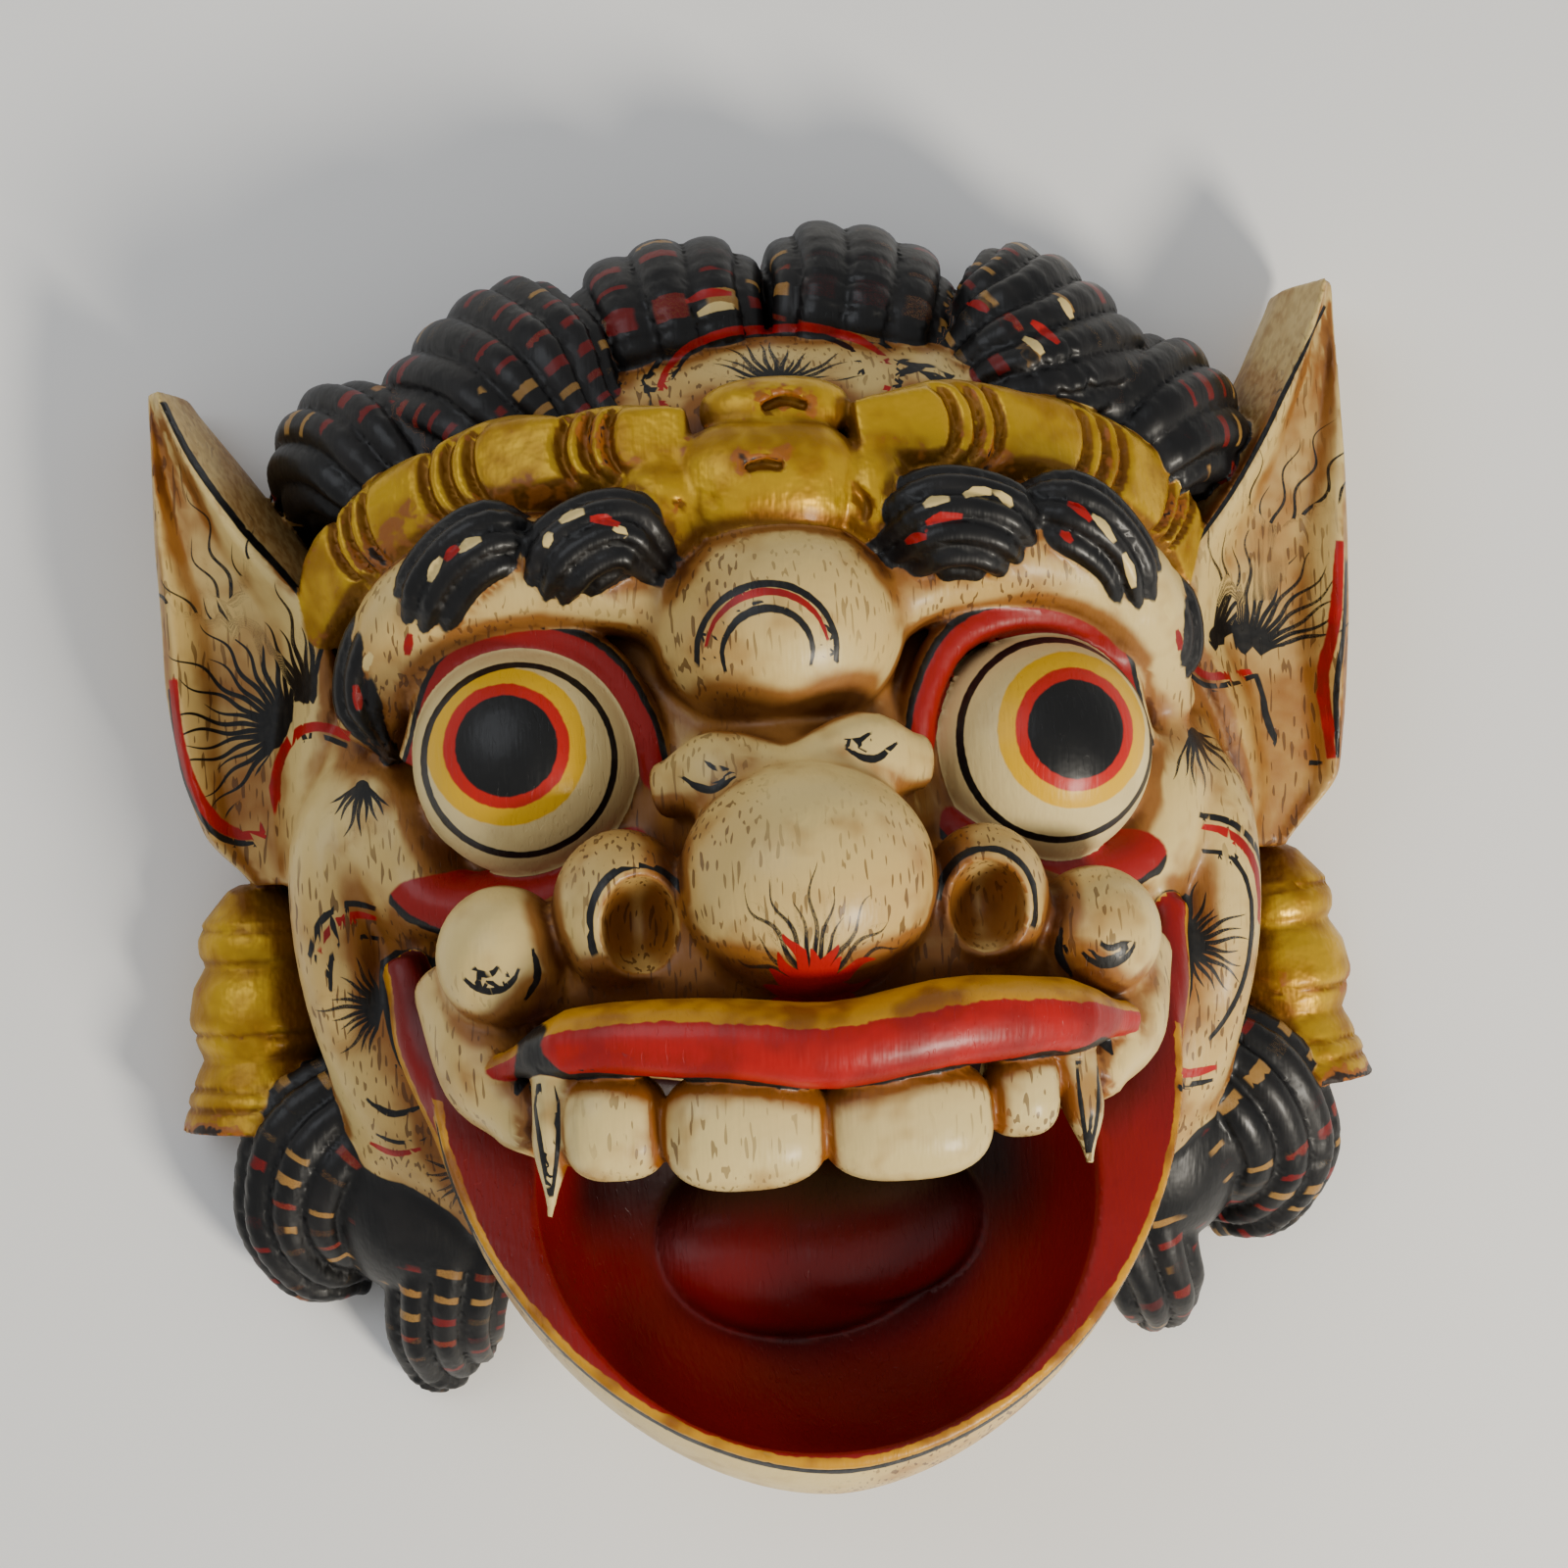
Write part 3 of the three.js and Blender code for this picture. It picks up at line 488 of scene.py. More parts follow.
tufts = [Strand(path, widths, TUFT_DEPTHS, out=from_root, flutes=flutes) for path, widths, flutes in (
    ([[-98, 106, 66], [-114, 124, 54], [-124, 128, 36], [-125, 121, 14], [-119, 110, -4]],
     [34, 44, 46, 44, 38], 5),
    ([[-54, 122, 78], [-70, 142, 66], [-82, 149, 46], [-85, 146, 22], [-83, 136, -4]],
     [44, 66, 76, 72, 66], 7),
    ([[-18, 142, 56], [-21, 158, 60], [-22, 168, 46], [-22, 165, 22], [-22, 152, -4]],
     [48, 56, 62, 62, 58], 5),
    ([[30, 142, 56], [35, 160, 60], [37, 170.2, 45], [37, 168, 20], [36, 154, -4]],
     [48, 56, 62, 62, 58], 5),
    ([[60, 134, 64], [84, 147, 66], [98, 152, 50], [102, 147, 24], [98, 137, -4]],
     [40, 62, 74, 72, 66], 7),
    ([[100, 110, 66], [122, 124, 58], [135, 127, 40], [137, 120, 18], [129, 108, -4]],
     [38, 50, 56, 52, 46], 5))]
lower_locks = [Strand(path, widths, depths, flutes=flutes) for path, widths, depths, flutes in (
    ([[-118, -66, 34], [-140, -84, 32], [-147, -100, 26], [-144, -114, 14], [-134, -120, 0]],
     [40, 52, 46, 40, 30], [26, 30, 28, 26, 20], 6),
    ([[-96, -96, 34], [-104, -122, 28], [-107, -140, 20], [-106, -150, 10], [-104, -152, 0]],
     [34, 40, 38, 34, 30], [28, 26, 22, 18, 14], 5),
    ([[126, -66, 34], [144, -84, 34], [152, -100, 26], [150, -112, 14], [142, -118, 0]],
     [40, 52, 52, 46, 36], [26, 32, 30, 26, 20], 6),
    ([[104, -98, 34], [110, -122, 28], [117, -142, 20], [120, -150, 10], [120, -152, 0]],
     [32, 38, 32, 26, 22], [28, 26, 22, 18, 14], 4))]


def ear_levels(rows):
    return [dict(zip(("y", "outer", "rim", "inner", "front", "dish"), row)) for row in rows]


ears = [
    Ear(-1, ear_levels([
        (-2, 157, 146, 128, 46, 1), (12, 171, 140, 118, 50, 5), (32, 177, 136, 116, 55, 10),
        (58, 180, 128, 114, 60, 13), (78, 180, 132, 120, 60, 12), (102, 181, 153, 137, 58, 9),
        (126, 181, 168, 154, 54, 5), (149, 181, 178, 171, 50, 0)])),
    Ear(1, ear_levels([
        (-8, 163, 150, 130, 44, 1), (12, 182, 148, 118, 48, 5), (36, 184, 142, 116, 54, 9),
        (62, 185, 128, 114, 60, 13), (86, 186, 134, 122, 60, 11), (112, 187, 154, 142, 58, 8),
        (140, 187, 171, 161, 54, 4), (168, 187, 184, 175, 48, 0)])),
]
pendants = [Pendant([-157, -2, 17], -2), Pendant([161, -8, 17], 4)]

hollows = [Mass([0, 12, 0], [88, 108, 66]), Mass([0, 14, 40], [48, 46, 54])]

gouges = [Strand(path, [2, 4, 2], [5, 8, 5]) for path in (
    [[-22, 104, 125], [-17, 101, 128], [-15, 96, 129]],
    [[-27, 102, 123], [-22, 98, 126], [-20, 93, 127]],
    [[17, 105, 127], [20, 99, 127], [19, 92, 126]],
    [[24, 104, 123], [27, 98, 123], [25, 91, 123]],
)] + [Strand(path, [3, 4, 3], [6, 9, 6]) for path in (
    [[-7, 110, 128], [-2, 111, 129], [3, 110, 128]],
    [[0, 128, 116], [6, 130, 117], [12, 128, 116]],
)]

# each group of forms, and how softly it runs into what is there already
CARVING = [
    (jaw_bands, 3.0), (tongue, 1.5), (muzzle, 5.0), ([fold], 5.0), ([nose], 4.0), ([bulb], 3.5),
    (wings, 3.0), (knobs, 3.0), ([upper_lip], 1.8), (teeth, 1.2), (fangs, 1.2), (brow_ridges, 6.0),
    (balls, 1.2), (lower_lids, 2.0), (upper_lids, 2.5), (cheekbones, 6.0), (flanges, 5.0), (ears, 6.0),
    (bands, 2.0), (centrepiece, 2.5), (brow_lobes, 1.4), (tufts, 1.6), (lower_locks, 1.6), (pendants, 1.5),
]


class Lattice:
    """The corners of a grid of voxels."""

    def __init__(self, low, high, step):
        self.axes = [np.arange(a, b, step, dtype=np.float32) for a, b in zip(low, high)]
        self.shape = tuple(len(axis) for axis in self.axes)

    def near(self, low, high):
        spans = tuple(slice(*np.searchsorted(axis, (a, b))) for axis, a, b in zip(self.axes, low, high))
        picked = [axis[span] for axis, span in zip(self.axes, spans)]
        return spans, np.stack(np.meshgrid(*picked, indexing="ij"), axis=-1)


class Cloud:
    """Loose points, such as a mesh's vertices."""

    def __init__(self, points):
        self.points = np.asarray(points, np.float32)
        self.shape = (len(points),)

    def near(self, low, high):
        inside = np.all((self.points > low) & (self.points < high), axis=1)
        return inside, self.points[inside]


def blend(values, samples, form, soft, how=union, sign=1.0):
    place, points = samples.near(form.low - soft - 4, form.high + soft + 4)
    if points.size:
        values[place] = how(values[place], sign * form.distance(points), soft)


def carve(samples):
    """Distance from the skin of the mask, in millimetres, negative inside."""
    values = np.full(samples.shape, FAR, np.float32)
    for form in shell:
        blend(values, samples, form, 6.0)
    blend(values, samples, jaw, 4.0)
    blend(values, samples, cavity, 2.0, common, -1.0)
    for forms, soft in CARVING:
        for form in forms:
            blend(values, samples, form, soft)
    for form in nostrils:
        blend(values, samples, form, 2.5, common, -1.0)
    for form in gouges:
        blend(values, samples, form, 0.8, common, -1.0)
    for form in hollows:
        blend(values, samples, form, 2.0, common, -1.0)
    return values


# ---------------------------------------------------------------- from the field to a mesh

margin = 3 * VOXEL
lattice = Lattice(FACE_LOW - margin, FACE_LOW + FACE_SIZE + margin, VOXEL)
field = carve(lattice)
for k in range(3):
    spread = [1, 1, 1]
    spread[k] = -1
    axis = lattice.axes[k].reshape(spread)
    field = np.maximum(field, FACE_LOW[k] - axis)
    field = np.maximum(field, axis - FACE_LOW[k] - FACE_SIZE[k])

grid = openvdb.FloatGrid(background=FAR)
grid.copyFromArray(np.ascontiguousarray(field.astype(np.float32)))
corners, triangles, quads = grid.convertToPolygons(isovalue=0.0, adaptivity=0.0)
corners = corners * VOXEL + np.array([axis[0] for axis in lattice.axes])
faces = np.concatenate([quads[:, [0, 1, 2]], quads[:, [0, 2, 3]], triangles.reshape(-1, 3)])[:, ::-1]


def skin_mesh(name, points, polygons):
    mesh = bpy.data.meshes.new(name)
    mesh.vertices.add(len(points))
    mesh.vertices.foreach_set("co", np.asarray(points, np.float32).ravel())
    mesh.loops.add(3 * len(polygons))
    mesh.loops.foreach_set("vertex_index", np.asarray(polygons, np.int32).ravel())
    mesh.polygons.add(len(polygons))
    mesh.polygons.foreach_set("loop_start", np.arange(0, 3 * len(polygons), 3, dtype=np.int32))
    mesh.update(calc_edges=True)
    mesh.validate()
    return mesh


def read(items, name, kind):
    """Three numbers from every item of a mesh."""
    values = np.empty(3 * len(items), kind)
    items.foreach_get(name, values)
    return values.reshape(-1, 3)


def one_skin(mesh):
    """The mesh without the small bubbles and specks that tight grooves leave beside its skin."""
    corners, faces = read(mesh.vertices, "co", np.float32), read(mesh.polygons, "vertices", np.int32)
    label, lower = None, np.arange(len(corners))
    while label is None or (lower != label).any():
        label = lower.copy()
        least = label[faces].min(axis=1)
        for k in range(3):
            np.minimum.at(lower, faces[:, k], least)
        lower = lower[lower]
    of_face = label[faces[:, 0]]
    kept = faces[of_face == np.bincount(of_face).argmax()]
    used, renumbered = np.unique(kept, return_inverse=True)
    bpy.data.meshes.remove(mesh)
    return skin_mesh("barong_mask_skin", corners[used], renumbered.reshape(-1, 3))


def thinned(mesh, most):
    """The same mesh in fewer triangles."""
    holder = bpy.data.objects.new("holder", mesh)
    bpy.context.scene.collection.objects.link(holder)
    modifier = holder.modifiers.new("thin", "DECIMATE")
    modifier.ratio = min(1.0, most / len(mesh.polygons))
    modifier.use_collapse_triangulate = True
    evaluated = holder.evaluated_get(bpy.context.evaluated_depsgraph_get())
    result = bpy.data.meshes.new_from_object(evaluated)
    bpy.data.objects.remove(holder)
    bpy.data.meshes.remove(mesh)
    return result


def slope(points, step=0.5):
    """The field and its slope at loose points."""
    rows = [np.zeros(3)] + [sign * step * np.eye(3)[k] for k in range(3) for sign in (1, -1)]
    values = carve(Cloud(np.concatenate([points + row for row in rows]))).reshape(len(rows), -1)
    rise = np.stack([values[1 + 2 * k] - values[2 + 2 * k] for k in range(3)], axis=1) / (2 * step)
    return values[0], rise


mesh = one_skin(thinned(skin_mesh("barong_mask_skin", corners, faces), MOST_TRIANGLES))
points = read(mesh.vertices, "co", np.float32).astype(float)
for _ in range(2):
    value, rise = slope(points)
    steep = np.maximum((rise ** 2).sum(axis=1), 0.2)
    points -= np.clip(value / steep, -0.6, 0.6)[:, None] * rise
points = np.clip(points, FACE_LOW, FACE_LOW + FACE_SIZE)

mesh.vertices.foreach_set("co", to_row(points).astype(np.float32).ravel())
mesh.polygons.foreach_set("use_smooth", np.ones(len(mesh.polygons), bool))
mesh.update()

mask = bpy.data.objects.new("barong_mask_visual", mesh)
bpy.context.scene.collection.objects.link(mask)
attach(mask, "root")
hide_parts("barong_mask")

# ---------------------------------------------------------------- what is painted where

def nearest_of(forms):
    """Distance from the mesh's vertices to the nearest of some forms."""
    values = np.full(len(points), FAR)
    for form in forms:
        blend(values, cloud, form, 0)
    return values


cloud = Cloud(points)
normals = unit(slope(points)[1])

HAIRLINE = 125.0
HAIRLINE_FALL = 0.0026
above_hairline = points[:, 1] > HAIRLINE - HAIRLINE_FALL * points[:, 0] ** 2
skull_and_bed = [shell[0], shell[3]]
napes = shell[6:8]
bed = nearest_of(skull_and_bed)
hair = nearest_of(brow_lobes + tufts + lower_locks + napes)
skin_forms = [form for form in shell if form not in skull_and_bed + napes] + wings + knobs + brow_ridges
cheek_forms = cheekbones + flanges
muzzle_forms = muzzle + [fold, nose, bulb] + wings + knobs
skin = nearest_of(skin_forms + cheek_forms + muzzle_forms + ears + [jaw])
apart = {
    "hair": np.where(above_hairline, np.minimum(hair, bed), hair),
    "skin": np.where(above_hairline, skin, np.minimum(skin, bed)),
    "gold": nearest_of(bands + centrepiece + pendants),
    "lip": nearest_of([upper_lip]),
    "tooth": nearest_of(teeth + fangs),
    "eye": nearest_of(balls),
    "lid": nearest_of(lower_lids + upper_lids),
}


def owned(kind):
    """Millimetres by which a kind of form is nearer than every other kind."""
    return np.minimum.reduce([apart[other] for other in apart if other != kind]) - apart[kind]


REACH = 4.0          # ownership is told this far to either side
STROKE_REACH = 2.6   # and lines along the forms this far
STROKE_MARGIN = 0.75 # a brush line is known about this far past its edge
RED_DEPTH = 1.6      # the mouth's paint lies within this of the cavity, the rim and the tongue
MOUTH_GAP = 0.8

cavity_gap = cavity.distance(points)
rim_height = (points - RIM_THROUGH) @ RIM_NORMAL
block_gap = jaw.block.distance(points)
band_gap = nearest_of(jaw_bands)
zone = np.maximum.reduce([
    RED_DEPTH - np.abs(cavity_gap),
    np.minimum(RED_DEPTH - np.abs(rim_height), 0.5 - block_gap),
    RED_DEPTH - band_gap,
    RED_DEPTH - nearest_of(tongue),
])
beside_mouth = np.minimum.reduce([apart["lip"], apart["tooth"], nearest_of(muzzle_forms + cheek_forms)])
mouth = np.minimum(zone, beside_mouth - MOUTH_GAP)

rim_edge = -block_gap
for form, outer in zip(jaw_bands, (1, -1)):
    _, x, _, _, half_width, _ = form.section(points)
    rim_edge = np.where(form.distance(points) < RED_DEPTH, half_width - outer * x, rim_edge)

TRIM_FROM = 0.62
TRIM_WIDTH = 2.2
_, x, _, _, half_width, _ = upper_lip.section(points)
trim = np.where(apart["lip"] < REACH, -x / half_width, TRIM_FROM + 0.1 * (TRIM_WIDTH - rim_edge))

lid_outward = np.full(len(points), 9.0)
lid_gap = np.full(len(points), FAR)
for form, outward in zip(lower_lids + upper_lids, (1, -1, -1, 1)):
    _, x, _, _, half_width, _ = form.section(points)
    gap = form.distance(points)
    lid_outward = np.where(gap < lid_gap, outward * x / half_width, lid_outward)
    lid_gap = np.minimum(gap, lid_gap)

PUPILS = ((-79.0, 35.0), (83.0, 31.0))
EYE_RINGS = (((-75.5, 31.0), 27.0), ((79.5, 28.5), 29.0))
iris = np.minimum.reduce([np.hypot(points[:, 0] - x, points[:, 1] - y) for x, y in PUPILS])
ring = np.where(points[:, 0] < 0, *[
    np.hypot(points[:, 0] - x, points[:, 1] - y) - radius for (x, y), radius in EYE_RINGS])


def arc(centre, radius, start, end, squash=1.0):
    """Points along part of a circle, degrees counted from +X towards +Y."""
    steps = max(4, int(abs(end - start) / 25) + 1)
    angles = np.radians(np.linspace(start, end, steps))
    return [(centre[0] + radius * math.cos(a), centre[1] + squash * radius * math.sin(a)) for a in angles]


class Ink:
    """Brush lines in one colour: how far across the nearest line a vertex lies, and how far inside it."""

    TAPER = 0.45

    def __init__(self):
        self.across = np.full(len(points), 9.0)
        self.inside = np.full(len(points), -STROKE_REACH)

    def take(self, across, inside):
        nearer = inside > self.inside
        self.across = np.where(nearer, across, self.across)
        self.inside = np.where(nearer, inside, self.inside)

    def line(self, path, half_width, belly=0.5, least_z=0.0):
        nodes = smooth_path(np.array(path, float), np.linspace(0, 1, 6 * len(path)))
        steps = np.diff(nodes, axis=0)
        lengths = np.linalg.norm(steps, axis=1)
        starts = np.concatenate([[0], np.cumsum(lengths)])
        whole = starts[-1]
        low, high = nodes.min(0) - 2 * STROKE_REACH, nodes.max(0) + 2 * STROKE_REACH
        near = np.all((points[:, :2] > low) & (points[:, :2] < high), axis=1)
        near &= (points[:, 2] > least_z) & (normals[:, 2] > -0.2)
        flat = points[near, :2]
        index, share = nearest_step(nodes, flat, run_on=True)
        step = steps[index]
        off = flat - nodes[index] - share[:, None] * step
        left = step[:, 0] * off[:, 1] - step[:, 1] * off[:, 0] >= 0
        side = np.where(left, 1.0, -1.0) * np.hypot(off[:, 0], off[:, 1])
        along = starts[index] + share * lengths[index]
        body = half_width + STROKE_MARGIN - np.abs(side)
        inside = np.minimum(self.TAPER * np.minimum(along, whole - along), body)
        swell = 1 - belly + belly * np.sin(math.pi * np.clip(along / whole, 0.05, 0.95))
        across, within = self.across[near], self.inside[near]
        nearer = inside > within
        across[nearer] = (side / (half_width * swell))[nearer]
        within[nearer] = inside[nearer]
        self.across[near], self.inside[near] = across, within


black, red, cream = Ink(), Ink(), Ink()

FINE, PLAIN, BROAD = 0.75, 1.15, 1.9

# the forehead's double arch, and the commas beside it
FOREHEAD = [(-31, 132), (-31, 141), (-21, 153), (9, 159), (38, 152), (45, 143), (40, 130)]
black.line(FOREHEAD, PLAIN, 0.3)
red.line([(x * 0.9 + 0.7, y * 0.93 + 9) for x, y in FOREHEAD], 1.3, 0.3)
black.line([(-25, 140), (-16, 151), (9, 155.5), (30, 149), (33, 138)], PLAIN, 0.6)
for x, flip in ((-44, 1), (54, -1)):
    black.line([(x - 7 * flip, 139), (x - 2 * flip, 137), (x + 6 * flip, 142)], PLAIN, 0.8)
    black.line([(x - 2 * flip, 142), (x + 2 * flip, 141), (x + 5 * flip, 144)], FINE, 0.8)

# the bulb between the brows
BULB_MARK = (-5.0, 56.5)
black.line(arc(BULB_MARK, 19.6, -12, 188), 1.15, 0.3, 120)
red.line(arc(BULB_MARK, 17.3, 8, 172), 1.2, 0.7, 120)
black.line(arc(BULB_MARK, 12.6, -22, 202), 1.3, 0.7, 120)

# the fold under it
for x, y, flip in ((-24, 24, 1), (22, 30, -1)):
    black.line([(x - 8 * flip, y), (x, y - 4.5), (x + 8 * flip, y - 1)], PLAIN, 0.8, 120)
    black.line([(x - 1 * flip, y + 4), (x + 3 * flip, y + 1), (x + 8 * flip, y + 1.5)], FINE, 0.8, 120)

# the knobs beside the mouth
for x, y, flip in ((-87, -24, 1), (85, -27, -1)):
    black.line(arc((x, y), 8.5, -150, -15), PLAIN, 0.7, 125)
    black.line(arc((x - 1 * flip, y), 3.8, -160, -20), 1.0, 0.5, 125)
    black.line([(x + 12 * flip, y + 3), (x + 13 * flip, y - 5), (x + 9 * flip, y - 12)], PLAIN, 0.8, 120)

# ears: the rim line, the red and black bands at the lobes
black.line([(-176, 146), (-168, 128), (-153, 105), (-141, 90), (-131, 75), (-125, 60)], PLAIN, 0.2)
LEFT_LOBE = [(-177, 62), (-176, 41), (-172, 26), (-165, 16), (-156, 14), (-150, 21), (-148, 33), (-142, 43),
             (-134, 45), (-124, 41)]
red.line(LEFT_LOBE, BROAD, 0.3)
black.line([(x - 1.2, y - 2.6) for x, y in LEFT_LOBE], 1.0, 0.2)
black.line([(184, 160), (175, 146), (166, 131), (159, 119), (147, 101), (133, 84)], FINE, 0.2)
red.line([(182, 86), (179, 60), (176, 44), (177, 32), (178, 18)], BROAD, 0.3)
black.line([(184.5, 82), (182, 58), (179.5, 40), (180, 18)], 1.0, 0.2)
black.line([(160, 49), (158, 36), (161, 26), (167, 19), (176, 17)], PLAIN, 0.3)
red.line([(132, 50), (137, 46), (145, 46), (155, 47)], 1.5, 0.5)
black.line([(131, 47.5), (137, 43), (147, 43.5), (157, 46)], 1.0, 0.3)

# cheeks: arches round the fans
black.line([(-140, -24), (-136, -13), (-128, -8), (-119, -10)], PLAIN, 0.4)
red.line([(-137, -22), (-132.5, -14.5), (-126, -11.5), (-119, -13)], 1.4, 0.6)
black.line([(-134, -34), (-133, -23), (-127, -18), (-119, -19)], 1.0, 0.5)
black.line([(-126, -66), (-118, -71), (-109, -69)], PLAIN, 0.6)
black.line([(-124, -77), (-117, -80), (-108, -79)], FINE, 0.6)
red.line([(-126, -80), (-118, -83.5), (-109, -82)], 1.1, 0.6)
black.line([(126, 4), (137, 1), (146, -8), (149, -20), (148, -32)], PLAIN, 0.3)
red.line([(127, 0.5), (136, -2), (143.5, -10), (146, -21), (145.5, -31)], 1.5, 0.5)
black.line([(127, -7), (136, -9), (141.5, -18), (142.5, -30), (139, -48), (131, -61), (121, -69)], 1.0, 0.4)
red.line([(112, -70), (120, -74), (131, -73)], 1.4, 0.5)
black.line([(110, -74), (120, -77.5), (130, -77)], 1.0, 0.5)

# the tusks' stripes
for side, x, tip in ((-1, -73.5, -90), (1, 76, -88)):
    black.line([(x - side * 3.2, -62), (x - side * 2.4, -74), (x, tip)], FINE, 0.5, 138)
    black.line([(x + side * 3.4, -62), (x + side * 2.4, -74), (x + side * 0.6, tip)], FINE, 0.5, 138)

# dabs of cream and red over the hair of the brows, and the longest ones on the head
DABS = [
    ((-57, 98), 8, 20, "cream"), ((-48, 96), 9, -15, "red"), ((-64, 92), 5, 70, "cream"),
    ((-44, 93), 5, -40, "cream"), ((-86, 92), 8, 25, "cream"), ((-96, 86), 8, 60, "cream"),
    ((-91, 90), 6, 40, "red"), ((-105, 66), 7, 80, "red"), ((-121, 52), 8, 95, "red"),
    ((-117, 62), 6, 70, "cream"), ((48, 92), 11, 8, "red"), ((58, 99), 9, 5, "cream"),
    ((66, 97), 6, -50, "cream"), ((46, 97), 8, 12, "cream"), ((40, 87), 6, 10, "red"),
    ((88, 93), 9, -40, "red"), ((95, 88), 11, -50, "cream"), ((103, 76), 11, -70, "cream"),
    ((84, 86), 5, -40, "red"), ((117, 64), 6, -60, "cream"), ((121, 56), 7, -75, "red"),
    ((-11, 166), 15, 8, "red"), ((-9, 162), 12, 10, "cream"), ((88, 150), 11, -45, "red"),
    ((84, 146), 8, -50, "cream"), ((70, 160), 7, -35, "red"), ((96, 158), 8, -60, "cream"),
]
for (x, y), length, angle, colour in DABS:
    a = math.radians(angle)
    dx, dy = length / 2 * math.cos(a), length / 2 * math.sin(a)
    stroke = [(x - dx, y - dy), (x, y + 0.1 * length), (x + dx, y + dy)]
    {"cream": cream, "red": red}[colour].line(stroke, 1.5, 0.6, 60 if y < 105 else 20)

# lines that follow the forms: round the eyeballs, over the nostrils, along the gums and the jaw
EYE_LINE_DEPTH = 2.0         # how far off the eyeball its ring may still be painted
NOSTRIL_LINE, NOSTRIL_LINE_HALF = 3.4, 1.1
NOSTRIL_NEAR = 24.0
GUM_LINE, GUM_LINE_HALF, GUM_REACH = 2.2, 2.4, 6.0
JAW_LINE_HALF = 1.2

black.take(ring, np.minimum(STROKE_REACH - np.abs(ring), EYE_LINE_DEPTH - apart["eye"]))
nostril_line = nearest_of(nostrils) - NOSTRIL_LINE
on_wing = np.minimum(2 - nearest_of(wings), STROKE_REACH - np.abs(nostril_line))
for side, nostril in zip(SIDES, nostrils):
    away = points[:, :2] - nostril.centre[:2]
    over = unit(away + TINY) @ unit(np.array([0.35 * side, 1.0]))
    near = np.hypot(*away.T) < NOSTRIL_NEAR
    inside = np.where(near, np.minimum(4 * (over + 0.2), on_wing), -STROKE_REACH)
    black.take(nostril_line / NOSTRIL_LINE_HALF, inside)
gum_line = apart["tooth"] - apart["lip"] - GUM_LINE
gum_near = GUM_REACH - np.maximum(apart["tooth"], apart["lip"])
black.take(gum_line / GUM_LINE_HALF, np.minimum(2 * GUM_LINE_HALF - 0.2 - np.abs(gum_line), gum_near))
jaw_line = zone + JAW_LINE_HALF
black.take(jaw_line / JAW_LINE_HALF, np.minimum(STROKE_REACH - np.abs(jaw_line), beside_mouth - 1.0))


class Fan:
    """Wavy brush strokes that spread from one place."""

    def __init__(self, centre, reach, middle, spread, count=34):
        self.centre, self.reach = centre, np.broadcast_to(reach, 2)
        self.middle, self.spread, self.count = math.radians(middle), math.radians(spread), count


FANS = [
    Fan((-144, 45), 47, 152, 80, 40), Fan((-146, 48), 84, 114, 20, 60), Fan((-136, 52), 46, 110, 38, 44),
    Fan((153, 52), 46, 62, 52, 44), Fan((151, 54), 86, 72, 19, 60), Fan((139, 54), 56, 52, 24, 48),
    Fan((-119, -39), 21, 178, 78, 30), Fan((-95, -90), 17, 195, 75, 26), Fan((-121, 28), 21, 262, 52, 28),
    Fan((121, -35), 24, 2, 82, 30), Fan((105, -93), 18, -42, 70, 26), Fan((127, 30), 22, -72, 55, 28),
    Fan((7, 137), (27, 17), 90, 86, 34), Fan((0, -36), (29, 39), 90, 76, 26),
]
fan_place = np.zeros((len(points), 3))
fan_size = np.zeros((len(points), 3))
fan_size[:, 0] = -1
for seed, fan in enumerate(FANS):
    away = (points[:, :2] - fan.centre) / fan.reach
    cos, sin = math.cos(fan.middle), math.sin(fan.middle)
    forward = away @ [cos, sin]
    aside = away @ [-sin, cos]
    radius = np.hypot(forward, aside)
    window = (fan.spread - np.abs(np.arctan2(aside, forward))) * np.minimum(radius * 4, 1)
    within = np.minimum(window + 0.12 * (radius < 0.12), 1.05 - radius)
    within = np.where(normals[:, 2] > -0.1, within, -1)
    chosen = within > fan_size[:, 0]
    fan_place[chosen] = np.stack([forward, aside, np.full(len(points), seed)], axis=1)[chosen]
    steady = np.full(len(points), 1 / fan.reach.mean())
    fan_size[chosen] = np.stack([within, steady, np.full(len(points), fan.count)], axis=1)[chosen]

FLAME_REACH = 20.0
flame_place = (points[:, :2] - (0, -37)) / FLAME_REACH
flame = np.stack([flame_place[:, 1], -flame_place[:, 0],
                  np.where(apart["lip"] > 0.5, 1 - np.hypot(*flame_place.T), -1)], axis=1)

lock = np.zeros((len(points), 3))
lock_gap = np.full(len(points), FAR)
for seed, form in enumerate(tufts + lower_locks):
    gap = form.distance(points)
    nearer = gap < lock_gap
    along, ridge = form.ridges(points)
    lock[nearer] = np.stack([along, ridge, np.full(len(points), seed)], axis=1)[nearer]
    lock_gap = np.minimum(gap, lock_gap)
brow_gap = nearest_of(brow_lobes)
lock_dashes = np.where((lock_gap < brow_gap) & (lock_gap < 3), 1.0, 0.0)

# how closed in the space just off each vertex is; the paint darkens with it, partly a brown wash and partly
# painted shade in the creases
NEAR_LOOK, WIDE_LOOK = 5.0, 13.0
near_crease, wide_crease = (
    np.clip(1 - carve(Cloud(points + look * normals)) / look, 0, 1) for look in (NEAR_LOOK, WIDE_LOOK))
crease = np.maximum(near_crease, 0.75 * wide_crease)
edge = np.clip(1 + carve(Cloud(points - NEAR_LOOK * normals)) / NEAR_LOOK, 0, 1)
raw = np.maximum(2.0 - points[:, 2], 2.0 - np.abs(nearest_of(hollows)))
ear_share = np.where(points[:, 0] < 0, ears[0].across(points), ears[1].across(points))
bevel = np.minimum(3 - nearest_of(ears), 20 * (ear_share - 1.02))
bevel = np.where(np.abs(points[:, 0]) > 112, bevel, -4.0)
